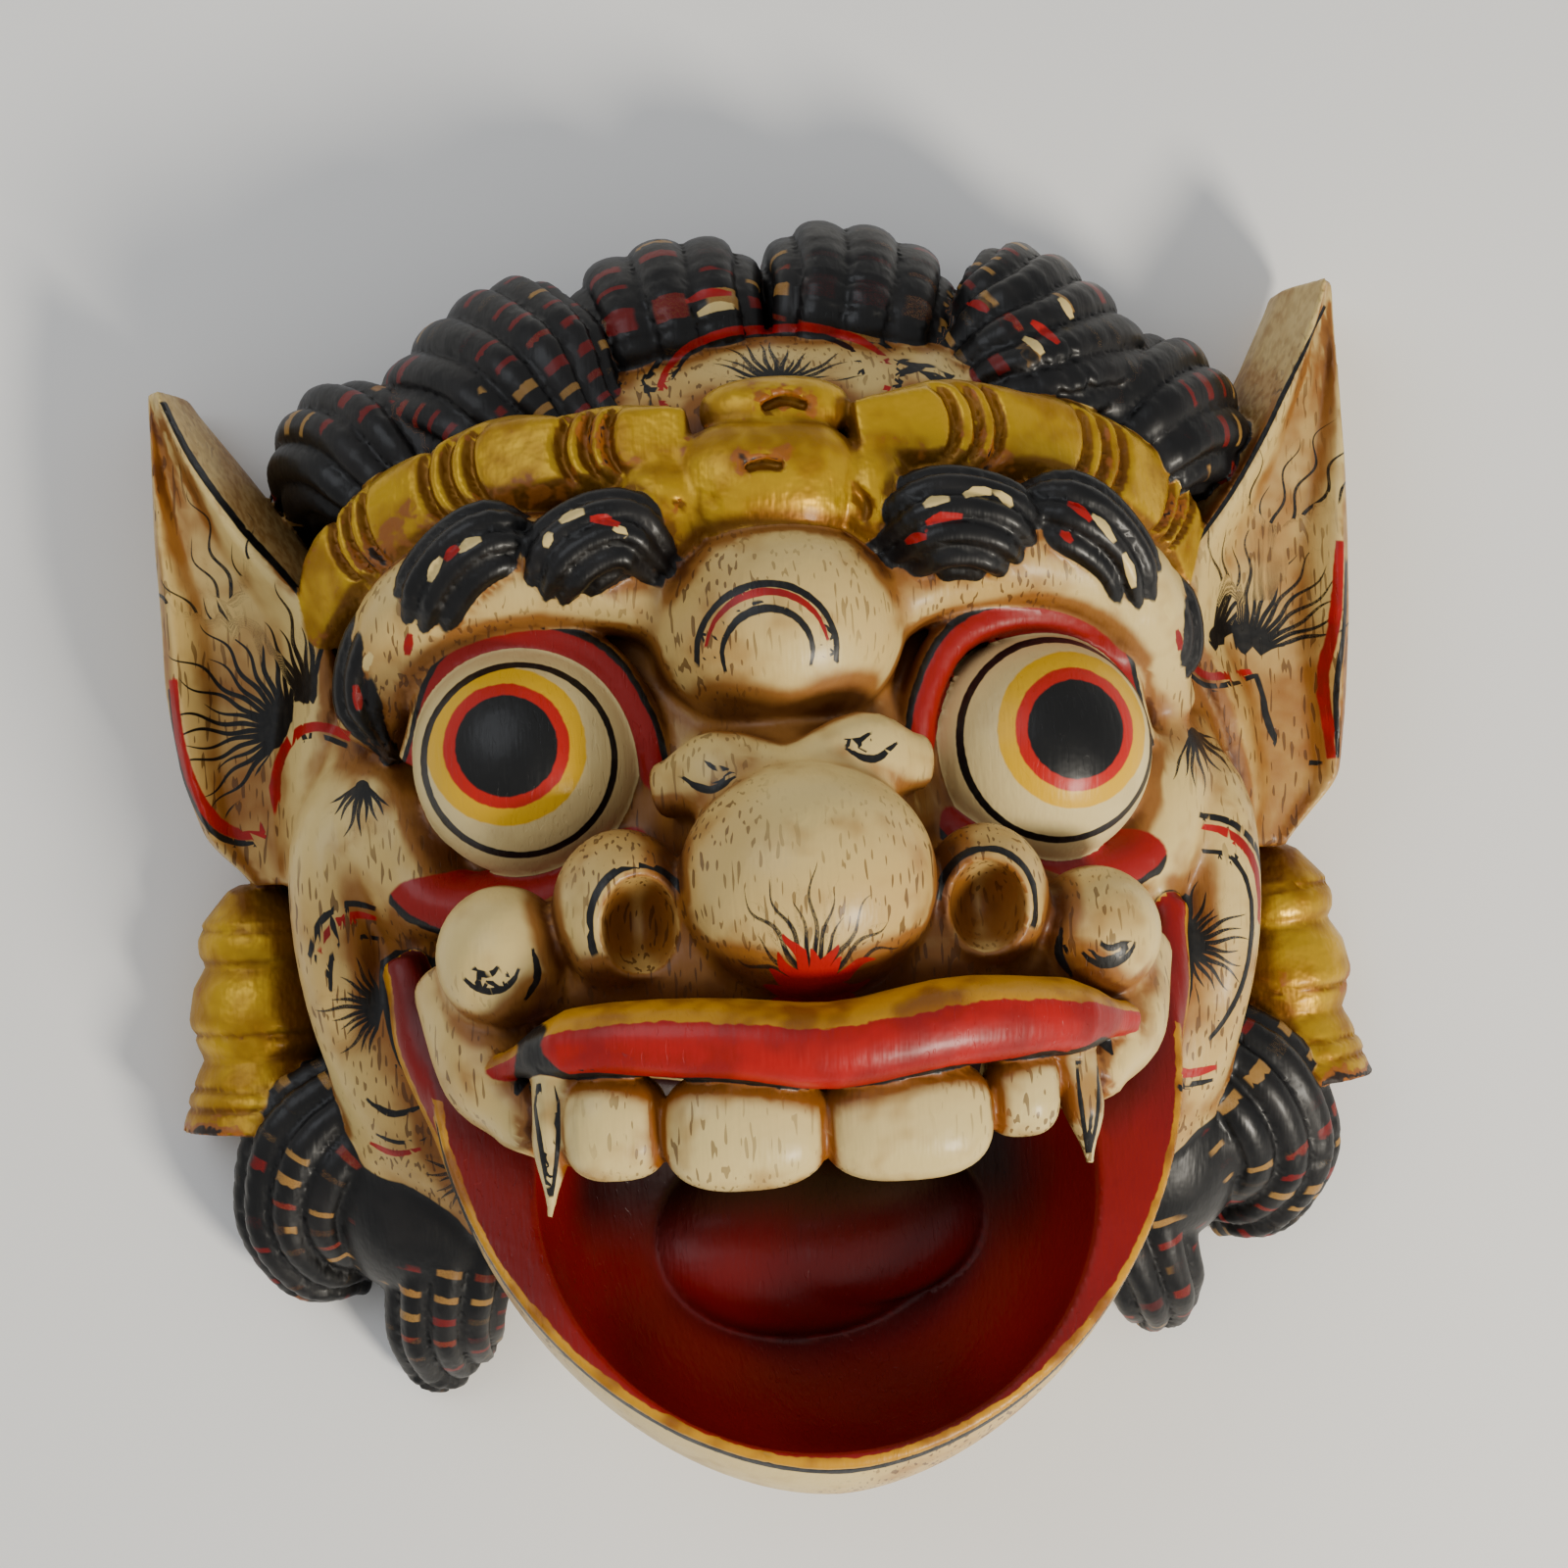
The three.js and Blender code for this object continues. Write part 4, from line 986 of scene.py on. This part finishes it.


# painted shade: the mouth darkens upwards, behind the teeth, where its deep part lies in shadow
throat_shade = smoothstep(-126, -96, points[:, 1]) * smoothstep(76, 60, np.abs(points[:, 0]))


def store(name, values):
    kind = "FLOAT_VECTOR" if values.ndim == 2 else "FLOAT"
    field_name = "vector" if values.ndim == 2 else "value"
    layer = mesh.attributes.new(name, kind, "POINT")
    layer.data.foreach_set(field_name, values.astype(np.float32).ravel())


for kind in ("hair", "gold", "lip", "tooth", "eye", "lid"):
    store(kind, np.clip(owned(kind), -REACH, REACH))
for name, values in {
    "mouth": mouth, "trim": trim, "lid_outward": lid_outward, "iris": iris,
    "black_across": black.across, "black_inside": black.inside,
    "red_across": red.across, "red_inside": red.inside,
    "cream_across": cream.across, "cream_inside": cream.inside,
    "fan_place": fan_place, "fan_size": fan_size, "nose_flame": flame,
    "throat_shade": throat_shade,
    "lock": lock, "lock_dashes": lock_dashes, "crease": crease, "edge": edge, "raw": raw, "bevel": bevel,
}.items():
    store(name, values)

# ---------------------------------------------------------------- paint

BUMP_DISTANCE = 0.0006   # metres
GOLD_METAL = 0.55
OBJECT_PLACE = 3         # the texture coordinate output that is fixed to the object


def srgb(red_part, green_part, blue_part):
    """A colour given in display values, 0 to 255, as the shader wants it."""
    return tuple(((c / 255 + 0.055) / 1.055) ** 2.4 if c > 10 else c / 255 / 12.92
                 for c in (red_part, green_part, blue_part))


CREAM, CREAM_AGED, CREAM_DULL = srgb(218, 192, 124), srgb(198, 162, 92), srgb(160, 120, 58)
EYE_WHITE, TOOTH = srgb(220, 204, 152), srgb(214, 190, 126)
# the browns of the wash and of the painted shade in creases, and of the pores
WASH_AND_SHADE, WASH_AND_DEEP_SHADE, PORE = srgb(134, 76, 12), srgb(92, 48, 8), srgb(78, 44, 14)
TAN, TAN_DARK = srgb(200, 168, 108), srgb(162, 124, 68)
BLACK, BLACK_WORN, HAIR, HAIR_WORN = srgb(10, 10, 10), srgb(26, 24, 21), srgb(8, 8, 9), srgb(22, 20, 20)
RUBBED = srgb(84, 56, 28)
RED, RED_DULL, RED_DEEP = srgb(168, 5, 2), srgb(134, 4, 3), srgb(112, 4, 3)
# the mouth's reds, and the near black of its painted shade
MOUTH_RED, MOUTH_DULL, MOUTH_SHADE = srgb(140, 5, 3), srgb(104, 4, 3), srgb(22, 2, 2)
OCHRE, OCHRE_DULL = srgb(196, 138, 6), srgb(140, 84, 12)
LID_RED = srgb(146, 6, 2)
EYE_YELLOW, EYE_RED = srgb(220, 170, 4), srgb(186, 18, 3)
# gold leaf, duller gold, and the brown of its painted shade in creases
GOLD, GOLD_DULL, GOLD_SHADE = srgb(198, 156, 26), srgb(158, 114, 12), srgb(104, 54, 6)
GROUND, GROUND_DARK = srgb(146, 84, 18), srgb(40, 26, 16)
WOOD, WOOD_DARK, WOOD_GREY = srgb(140, 102, 60), srgb(98, 66, 36), srgb(62, 44, 30)
DASH_ROWS = 6.4      # millimetres between the rows of dashes on the hair


class Value:
    """One output in a node tree, which can be reckoned with."""

    def __init__(self, graph, socket):
        self.graph, self.socket = graph, socket

    def __add__(self, other):
        return self.graph.math("ADD", self, other)

    def __sub__(self, other):
        return self.graph.math("SUBTRACT", self, other)

    def __rsub__(self, other):
        return self.graph.math("SUBTRACT", other, self)

    def __mul__(self, other):
        return self.graph.math("MULTIPLY", self, other)

    def __truediv__(self, other):
        return self.graph.math("DIVIDE", self, other)

    def __rtruediv__(self, other):
        return self.graph.math("DIVIDE", other, self)

    def __abs__(self):
        return self.graph.math("ABSOLUTE", self)

    __radd__, __rmul__ = __add__, __mul__


class Graph:
    """A node tree written as expressions."""

    def __init__(self, tree):
        self.tree = tree

    def feed(self, socket, source):
        if isinstance(source, Value):
            self.tree.links.new(source.socket, socket)
        elif socket.type == "RGBA":
            socket.default_value = (*source, 1)
        else:
            socket.default_value = source

    def node(self, kind, sources=None, **settings):
        """The outputs of a new node, whose inputs are given by place or by name."""
        made = self.tree.nodes.new(kind)
        for name, setting in settings.items():
            setattr(made, name, setting)
        for key, source in (sources or {}).items():
            self.feed(made.inputs[key], source)
        return [Value(self, socket) for socket in made.outputs]

    def math(self, operation, *sources, clamp=False):
        return self.node("ShaderNodeMath", dict(enumerate(sources)), operation=operation, use_clamp=clamp)[0]

    def ease(self, value, low, high):
        """0 at `low` and below, 1 at `high` and above, eased between."""
        sources = {"Value": value, "From Min": low, "From Max": high}
        return self.node("ShaderNodeMapRange", sources, interpolation_type="SMOOTHSTEP")[0]

    def blend(self, share, below, above):
        return self.node("ShaderNodeMix", {0: share, 6: below, 7: above}, data_type="RGBA")[2]

    def lerp(self, share, below, above):
        return self.node("ShaderNodeMix", {0: share, 2: below, 3: above}, data_type="FLOAT")[0]

    def attribute(self, name):
        return self.node("ShaderNodeAttribute", attribute_type="GEOMETRY", attribute_name=name)

    def value(self, name):
        return self.attribute(name)[2]

    def parts(self, name):
        return self.node("ShaderNodeSeparateXYZ", {0: self.attribute(name)[1]})

    def scaled(self, vector, scale):
        return self.node("ShaderNodeVectorMath", {0: vector, 1: scale}, operation="MULTIPLY")[0]

    def noise(self, vector, scale, detail, rough=0.55):
        sources = {"Vector": vector, "Scale": scale, "Detail": detail, "Roughness": rough}
        return self.node("ShaderNodeTexNoise", sources)[0]

    def pack(self, x, y, z):
        return self.node("ShaderNodeCombineXYZ", {0: x, 1: y, 2: z})[0]

    def chance(self, vector):
        return self.node("ShaderNodeTexWhiteNoise", {"Vector": vector}, noise_dimensions="3D")[0]


def brush_fan(graph, forward, aside, seed, within, shrink, count, weight, shortest):
    """Tapered wavy strokes spread round a place: 1 on a stroke, 0 off it."""
    m, ease = graph.math, graph.ease
    to_strokes = count / (2 * math.pi)
    radius = m("SQRT", forward * forward + aside * aside)
    turn = m("ARCTAN2", aside, forward) * to_strokes
    index = m("ROUND", turn)
    length = graph.chance(graph.pack(index, seed, 3.0)) * (1 - shortest) + shortest
    phase = graph.chance(graph.pack(index, seed, 9.0)) * 6.28
    swing = m("SINE", radius * (0.36 / shrink) + phase) * 0.26 * m("MULTIPLY", radius, 2.5, clamp=True)
    off = abs((turn - index - swing) / to_strokes * radius)
    left = 1.0 - radius / length
    half = m("POWER", m("MAXIMUM", left, 0.0), 0.7) * weight * shrink
    soft = shrink * 0.125
    return ease(half - off, soft * -1.0, soft) * ease(left, 0.0, 0.04) * ease(within, 0.0, 0.03)


def painted_wood(name, shown):
    """The mask's paint. `shown` names the layers that faces with this material can show."""
    material = bpy.data.materials.new(name)
    material.use_nodes = True
    graph = Graph(material.node_tree)
    m, ease, blend_in, value = graph.math, graph.ease, graph.blend, graph.value
    only = len(shown) == 1

    place = graph.node("ShaderNodeTexCoord")[OBJECT_PLACE]
    broad = graph.noise(place, 14.0, 1.0)
    middling = graph.noise(place, 60.0, 2.0, 0.6)
    fine = graph.noise(place, 300.0, 1.0, 0.65)
    grain = graph.noise(graph.scaled(place, (1.0, 0.09, 0.6)), 620.0, 1.0, 0.6)
    shake = middling * 2.2 + fine * 1.2 - 1.7
    crease = value("crease")

    def owned_mask(kind, hard=0.35):
        return 1.0 if only else ease(value(kind) + shake * 0.35, -hard, hard)

    def line_mask(kind, wear=0.25):
        across = abs(value(kind + "_across")) + shake * wear
        return ease(across, 1.12, 0.82) * ease(value(kind + "_inside"), 0.0, 0.35)

    # cream paint under a brown wash, and painted shade in the creases, darker the more closed in a place is
    shade_and_wash = crease * 2.1 + broad + middling * 1.1 - 1.03
    stain_and_shade = ease(shade_and_wash, 0.0, 0.85) * 0.9
    cream_paint = blend_in(ease(broad, 0.35, 0.7), CREAM, CREAM_AGED)
    cream_paint = blend_in(ease(middling, 0.5, 0.75) * 0.4, cream_paint, CREAM_DULL)
    pore_marks = 0.0
    if shown & {"skin", "tooth"}:
        pores = graph.noise(graph.scaled(place, (1.0, 0.16, 0.5)), 900.0, 0.0, 0.5)
        pore_marks = ease(pores, 0.655, 0.69) * ease(broad, 0.38, 0.58)
    # the brown wash and the painted shade of the creases, deepest where a crease is tightest
    skin_colour = blend_in(stain_and_shade, cream_paint, WASH_AND_SHADE)
    skin_colour = blend_in(ease(shade_and_wash, 0.9, 1.8), skin_colour, WASH_AND_DEEP_SHADE)
    skin_colour = blend_in(pore_marks * 0.75, skin_colour, PORE)
    colour = skin_colour
    if "skin" in shown:
        tan = blend_in(ease(grain, 0.35, 0.65), TAN_DARK, TAN)
        colour = blend_in(ease(value("bevel"), 0.0, 1.5) * 0.55, colour, tan)

    black_paint = blend_in(ease(fine, 0.45, 0.7), BLACK, BLACK_WORN)
    red_paint = blend_in(ease(middling, 0.4, 0.65), RED, RED_DULL)
    if "fan" in shown:
        forward, aside, seed = graph.parts("fan_place")
        within, shrink, count = graph.parts("fan_size")
        strokes = brush_fan(graph, forward, aside, seed, within, shrink, count, 1.15, 0.5)
        fan_radius = m("SQRT", forward * forward + aside * aside)
        heart = ease(fan_radius + shake * 0.03, 0.17, 0.12) * ease(within, -0.02, 0.05)
        colour = blend_in(m("MAXIMUM", strokes, heart), colour, black_paint)
        forward, aside, within = graph.parts("nose_flame")
        flames = brush_fan(graph, forward, aside, 5.0, within, 1 / FLAME_REACH, 17.0, 3.4, 0.55)
        colour = blend_in(flames, colour, red_paint)

    if "eye" in shown:
        iris_edge = value("iris") + shake * 0.5
        eye_colour = blend_in(0.5, cream_paint, EYE_WHITE)
        for edge_at, ring_colour in ((22.6, EYE_YELLOW), (17.8, EYE_RED), (14.4, BLACK)):
            eye_colour = blend_in(ease(iris_edge, edge_at + 0.3, edge_at - 0.3), eye_colour, ring_colour)
        colour = blend_in(owned_mask("eye", 0.25), colour, eye_colour)
    if "lid" in shown:
        lid_place = value("lid_outward") + shake * 0.12
        lid_colour = blend_in(ease(lid_place, 0.30, 0.40), LID_RED, black_paint)
        lid_colour = blend_in(ease(lid_place, 0.66, 0.74), lid_colour, skin_colour)
        colour = blend_in(owned_mask("lid"), colour, lid_colour)

    # mouth and lips, edged in ochre
    if shown & {"mouth", "lip"}:
        ochre = blend_in(ease(middling, 0.4, 0.65), OCHRE, OCHRE_DULL)
        trimmed = ease(value("trim") + shake * 0.10, 0.60, 0.64)
    if "mouth" in shown:
        mouth_colour = blend_in(ease(broad, 0.35, 0.65), MOUTH_RED, MOUTH_DULL)
        # painted shade: the mouth's paint darker in its creases, and upwards behind the teeth
        mouth_colour = blend_in(ease(crease, 0.1, 0.8) * 0.6, mouth_colour, MOUTH_SHADE)
        mouth_colour = blend_in(value("throat_shade") * 0.96, mouth_colour, MOUTH_SHADE)
        colour = blend_in(owned_mask("mouth"), colour, blend_in(trimmed, mouth_colour, ochre))
    if "lip" in shown:
        lip_colour = blend_in(ease(middling, 0.35, 0.7), RED, RED_DULL)
        colour = blend_in(owned_mask("lip"), colour, blend_in(trimmed, lip_colour, ochre))
    if "tooth" in shown:
        tooth_colour = blend_in(ease(middling, 0.45, 0.75), TOOTH, CREAM_DULL)
        tooth_colour = blend_in(pore_marks * 0.7, tooth_colour, PORE)
        # painted shade in the creases round the teeth, in the wash's brown
        tooth_colour = blend_in(ease(crease + shake * 0.06, 0.15, 0.65), tooth_colour, WASH_AND_SHADE)
        colour = blend_in(owned_mask("tooth"), colour, tooth_colour)
    if "ink" in shown:
        colour = blend_in(line_mask("black"), colour, black_paint)

    # hair, black with short dashes across its ridges
    if "hair" in shown:
        hair_colour = blend_in(ease(middling, 0.4, 0.7), HAIR, HAIR_WORN)
        rubbed = ease(value("edge") + shake * 0.12, 0.62, 0.85)
        hair_colour = blend_in(rubbed * 0.4, hair_colour, RUBBED)
        along, ridge, seed = graph.parts("lock")
        rows = (along + shake * 0.3) / DASH_ROWS
        cell = graph.pack(m("FLOOR", rows), m("FLOOR", ridge), seed)
        dash = ease(abs(m("FRACT", rows) - 0.5), 0.17, 0.11) * ease(abs(m("FRACT", ridge) - 0.5), 0.36, 0.28)
        rare = graph.chance(cell) - ease(broad, 0.38, 0.52) * 0.55
        dash = dash * ease(rare, 0.12, 0.08) * value("lock_dashes")
        which = graph.chance(graph.scaled(cell, (1.7, 2.3, 1.1)))
        dash_colour = blend_in(ease(which, 0.48, 0.5), CREAM_DULL, RED_DEEP)
        hair_colour = blend_in(dash * 0.85, hair_colour, dash_colour)
        colour = blend_in(owned_mask("hair"), colour, hair_colour)
    if shown & {"ink", "hair"}:
        colour = blend_in(line_mask("cream"), colour, CREAM)
        colour = blend_in(line_mask("red"), colour, red_paint)

    # gold leaf, worn through to an orange ground and dark wood
    gold_mask, metal = 0.0, 0.0
    if "gold" in shown:
        gold_mask = owned_mask("gold")
        leaf = blend_in(ease(middling, 0.38, 0.66), GOLD, GOLD_DULL)
        # painted shade: the gold leaf darker in its creases
        leaf = blend_in(ease(crease, 0.1, 0.5) * 0.8, leaf, GOLD_SHADE)
        worn = value("edge") * 0.35 + middling * 0.7 + broad * 0.45 + fine * 0.25
        bare = ease(worn, 0.90, 0.97)
        leaf = blend_in(ease(worn, 1.02, 1.08), blend_in(bare, leaf, GROUND), GROUND_DARK)
        colour = blend_in(gold_mask, colour, leaf)
        metal = (1.0 - bare) * gold_mask * GOLD_METAL

    # bare wood at the back
    raw_mask = 0.0
    if "raw" in shown:
        wood = blend_in(ease(grain, 0.35, 0.65), WOOD, WOOD_DARK)
        wood = blend_in(ease(broad, 0.45, 0.7) * 0.5, wood, WOOD_GREY)
        raw_mask = 1.0 if only else ease(value("raw"), 0.6, 1.4)
        colour = blend_in(raw_mask, colour, wood)
        metal = metal * (1.0 - raw_mask)

    rough = middling * 0.35 + 0.24
    rough = graph.lerp(gold_mask, rough, middling * 0.5 + 0.16)
    rough = graph.lerp(stain_and_shade * 0.5, rough, 0.6)
    rough = graph.lerp(raw_mask, rough, 0.8)

    height = grain * 0.45 + fine * 0.35 + middling * 0.6 - pore_marks * 0.35
    if "gold" in shown:
        height = height + fine * gold_mask * 0.9
    bump = graph.node("ShaderNodeBump", {
        "Strength": 0.55, "Distance": BUMP_DISTANCE, "Height": height})[0]

    shader = material.node_tree.nodes["Principled BSDF"]
    for socket, source in {
        "Base Color": colour, "Metallic": metal, "Roughness": rough, "Normal": bump,
        "Specular IOR Level": 0.32, "Coat Weight": 0.1, "Coat Roughness": 0.2,
    }.items():
        graph.feed(shader.inputs[socket], source)
    return material


CLEAR = 1.2          # a face this far inside one kind shows nothing else
ALL_LAYERS = {"skin", "fan", "eye", "lid", "mouth", "lip", "tooth", "ink", "hair", "gold", "raw"}
unpainted = raw < 0.3
no_lines = np.maximum.reduce([black.inside, red.inside, cream.inside]) < -0.2
no_fans = (fan_size[:, 0] < -0.05) & (flame[:, 2] < -0.05)
far_from_kinds = np.all([owned(kind) < -CLEAR for kind in apart if kind != "skin"], axis=0)
LAYER_SETS = [
    ("all_layers", ALL_LAYERS, np.zeros(len(points), bool)),
    ("bare_wood", {"raw"}, raw > 1.6),
    ("hair_paint", {"hair"}, unpainted & (owned("hair") > CLEAR) & (black.inside < -0.2)),
    ("gold_leaf", {"gold"}, unpainted & (owned("gold") > CLEAR) & no_lines),
    ("mouth_paint", {"mouth"}, unpainted & (mouth > CLEAR) & no_lines),
    ("plain_skin", {"skin"}, unpainted & no_lines & no_fans & far_from_kinds & (mouth < -CLEAR)),
]
corner_index = read(mesh.polygons, "vertices", np.int32)
chosen = np.zeros(len(mesh.polygons), np.int32)
for index, (name, shown, where) in enumerate(LAYER_SETS):
    mesh.materials.append(painted_wood(name, shown))
    chosen[where[corner_index].all(axis=1)] = index
mesh.polygons.foreach_set("material_index", chosen)

# ---------------------------------------------------------------- floor, light and camera

FLOOR_HALF = 3.0
FLOOR_DROP = 0.0006


def plain_material(name, colour, roughness):
    material = bpy.data.materials.new(name)
    material.use_nodes = True
    shader = material.node_tree.nodes["Principled BSDF"]
    shader.inputs["Base Color"].default_value = (*colour, 1)
    shader.inputs["Roughness"].default_value = roughness
    return material


floor_mesh = bpy.data.meshes.new("floor")
floor_mesh.from_pydata(
    [(x * FLOOR_HALF, y * FLOOR_HALF, -FLOOR_DROP) for x, y in ((-1, -1), (1, -1), (1, 1), (-1, 1))],
    [], [(0, 1, 2, 3)])
floor = bpy.data.objects.new("floor", floor_mesh)
floor.data.materials.append(plain_material("floor", (0.86, 0.86, 0.85), 0.9))
bpy.context.scene.collection.objects.link(floor)


def area_light(name, place, size, power, colour, aim=(0.0, 0.0, 0.06)):
    data = bpy.data.lights.new(name, "AREA")
    data.shape = "DISK"
    data.size = size
    data.energy = power
    data.color = colour
    light = bpy.data.objects.new(name, data)
    light.location = place
    light.rotation_euler = (Vector(aim) - Vector(place)).to_track_quat("-Z", "Y").to_euler()
    bpy.context.scene.collection.objects.link(light)


area_light("key", (0.85, -0.95, 1.15), 0.4, 29.0, (1.0, 0.93, 0.80))
area_light("fill", (-1.1, 0.9, 1.5), 1.4, 10.0, (0.88, 0.93, 1.0))

world = bpy.data.worlds.new("studio")
world.use_nodes = True
world.node_tree.nodes["Background"].inputs["Color"].default_value = (1.0, 1.0, 1.0, 1)
world.node_tree.nodes["Background"].inputs["Strength"].default_value = 0.5
bpy.context.scene.world = world

TURN = math.radians(5.0)            # the camera stands a little to the left of straight above
ROLL = math.radians(3.2)
AIM = np.array([2.0, 20.0, 90.0])   # face millimetres
DISTANCE = 1000.0
LENS = 78.07

towards = np.array([-math.sin(TURN), 0.0, math.cos(TURN)])
level_right = np.array([math.cos(TURN), 0.0, math.sin(TURN)])
level_up = np.cross(towards, level_right)
right = math.cos(ROLL) * level_right - math.sin(ROLL) * level_up
upward = math.sin(ROLL) * level_right + math.cos(ROLL) * level_up

camera_data = bpy.data.cameras.new("camera")
camera_data.lens = LENS
camera_data.sensor_width = 36.0
camera = bpy.data.objects.new("camera", camera_data)
pose = Matrix([[*row, 0] for row in np.stack([right, upward, towards], axis=1)] + [[0, 0, 0, 1]])
pose.translation = Vector(to_row(AIM + towards * DISTANCE))
camera.matrix_world = pose
bpy.context.scene.collection.objects.link(camera)
bpy.context.scene.camera = camera
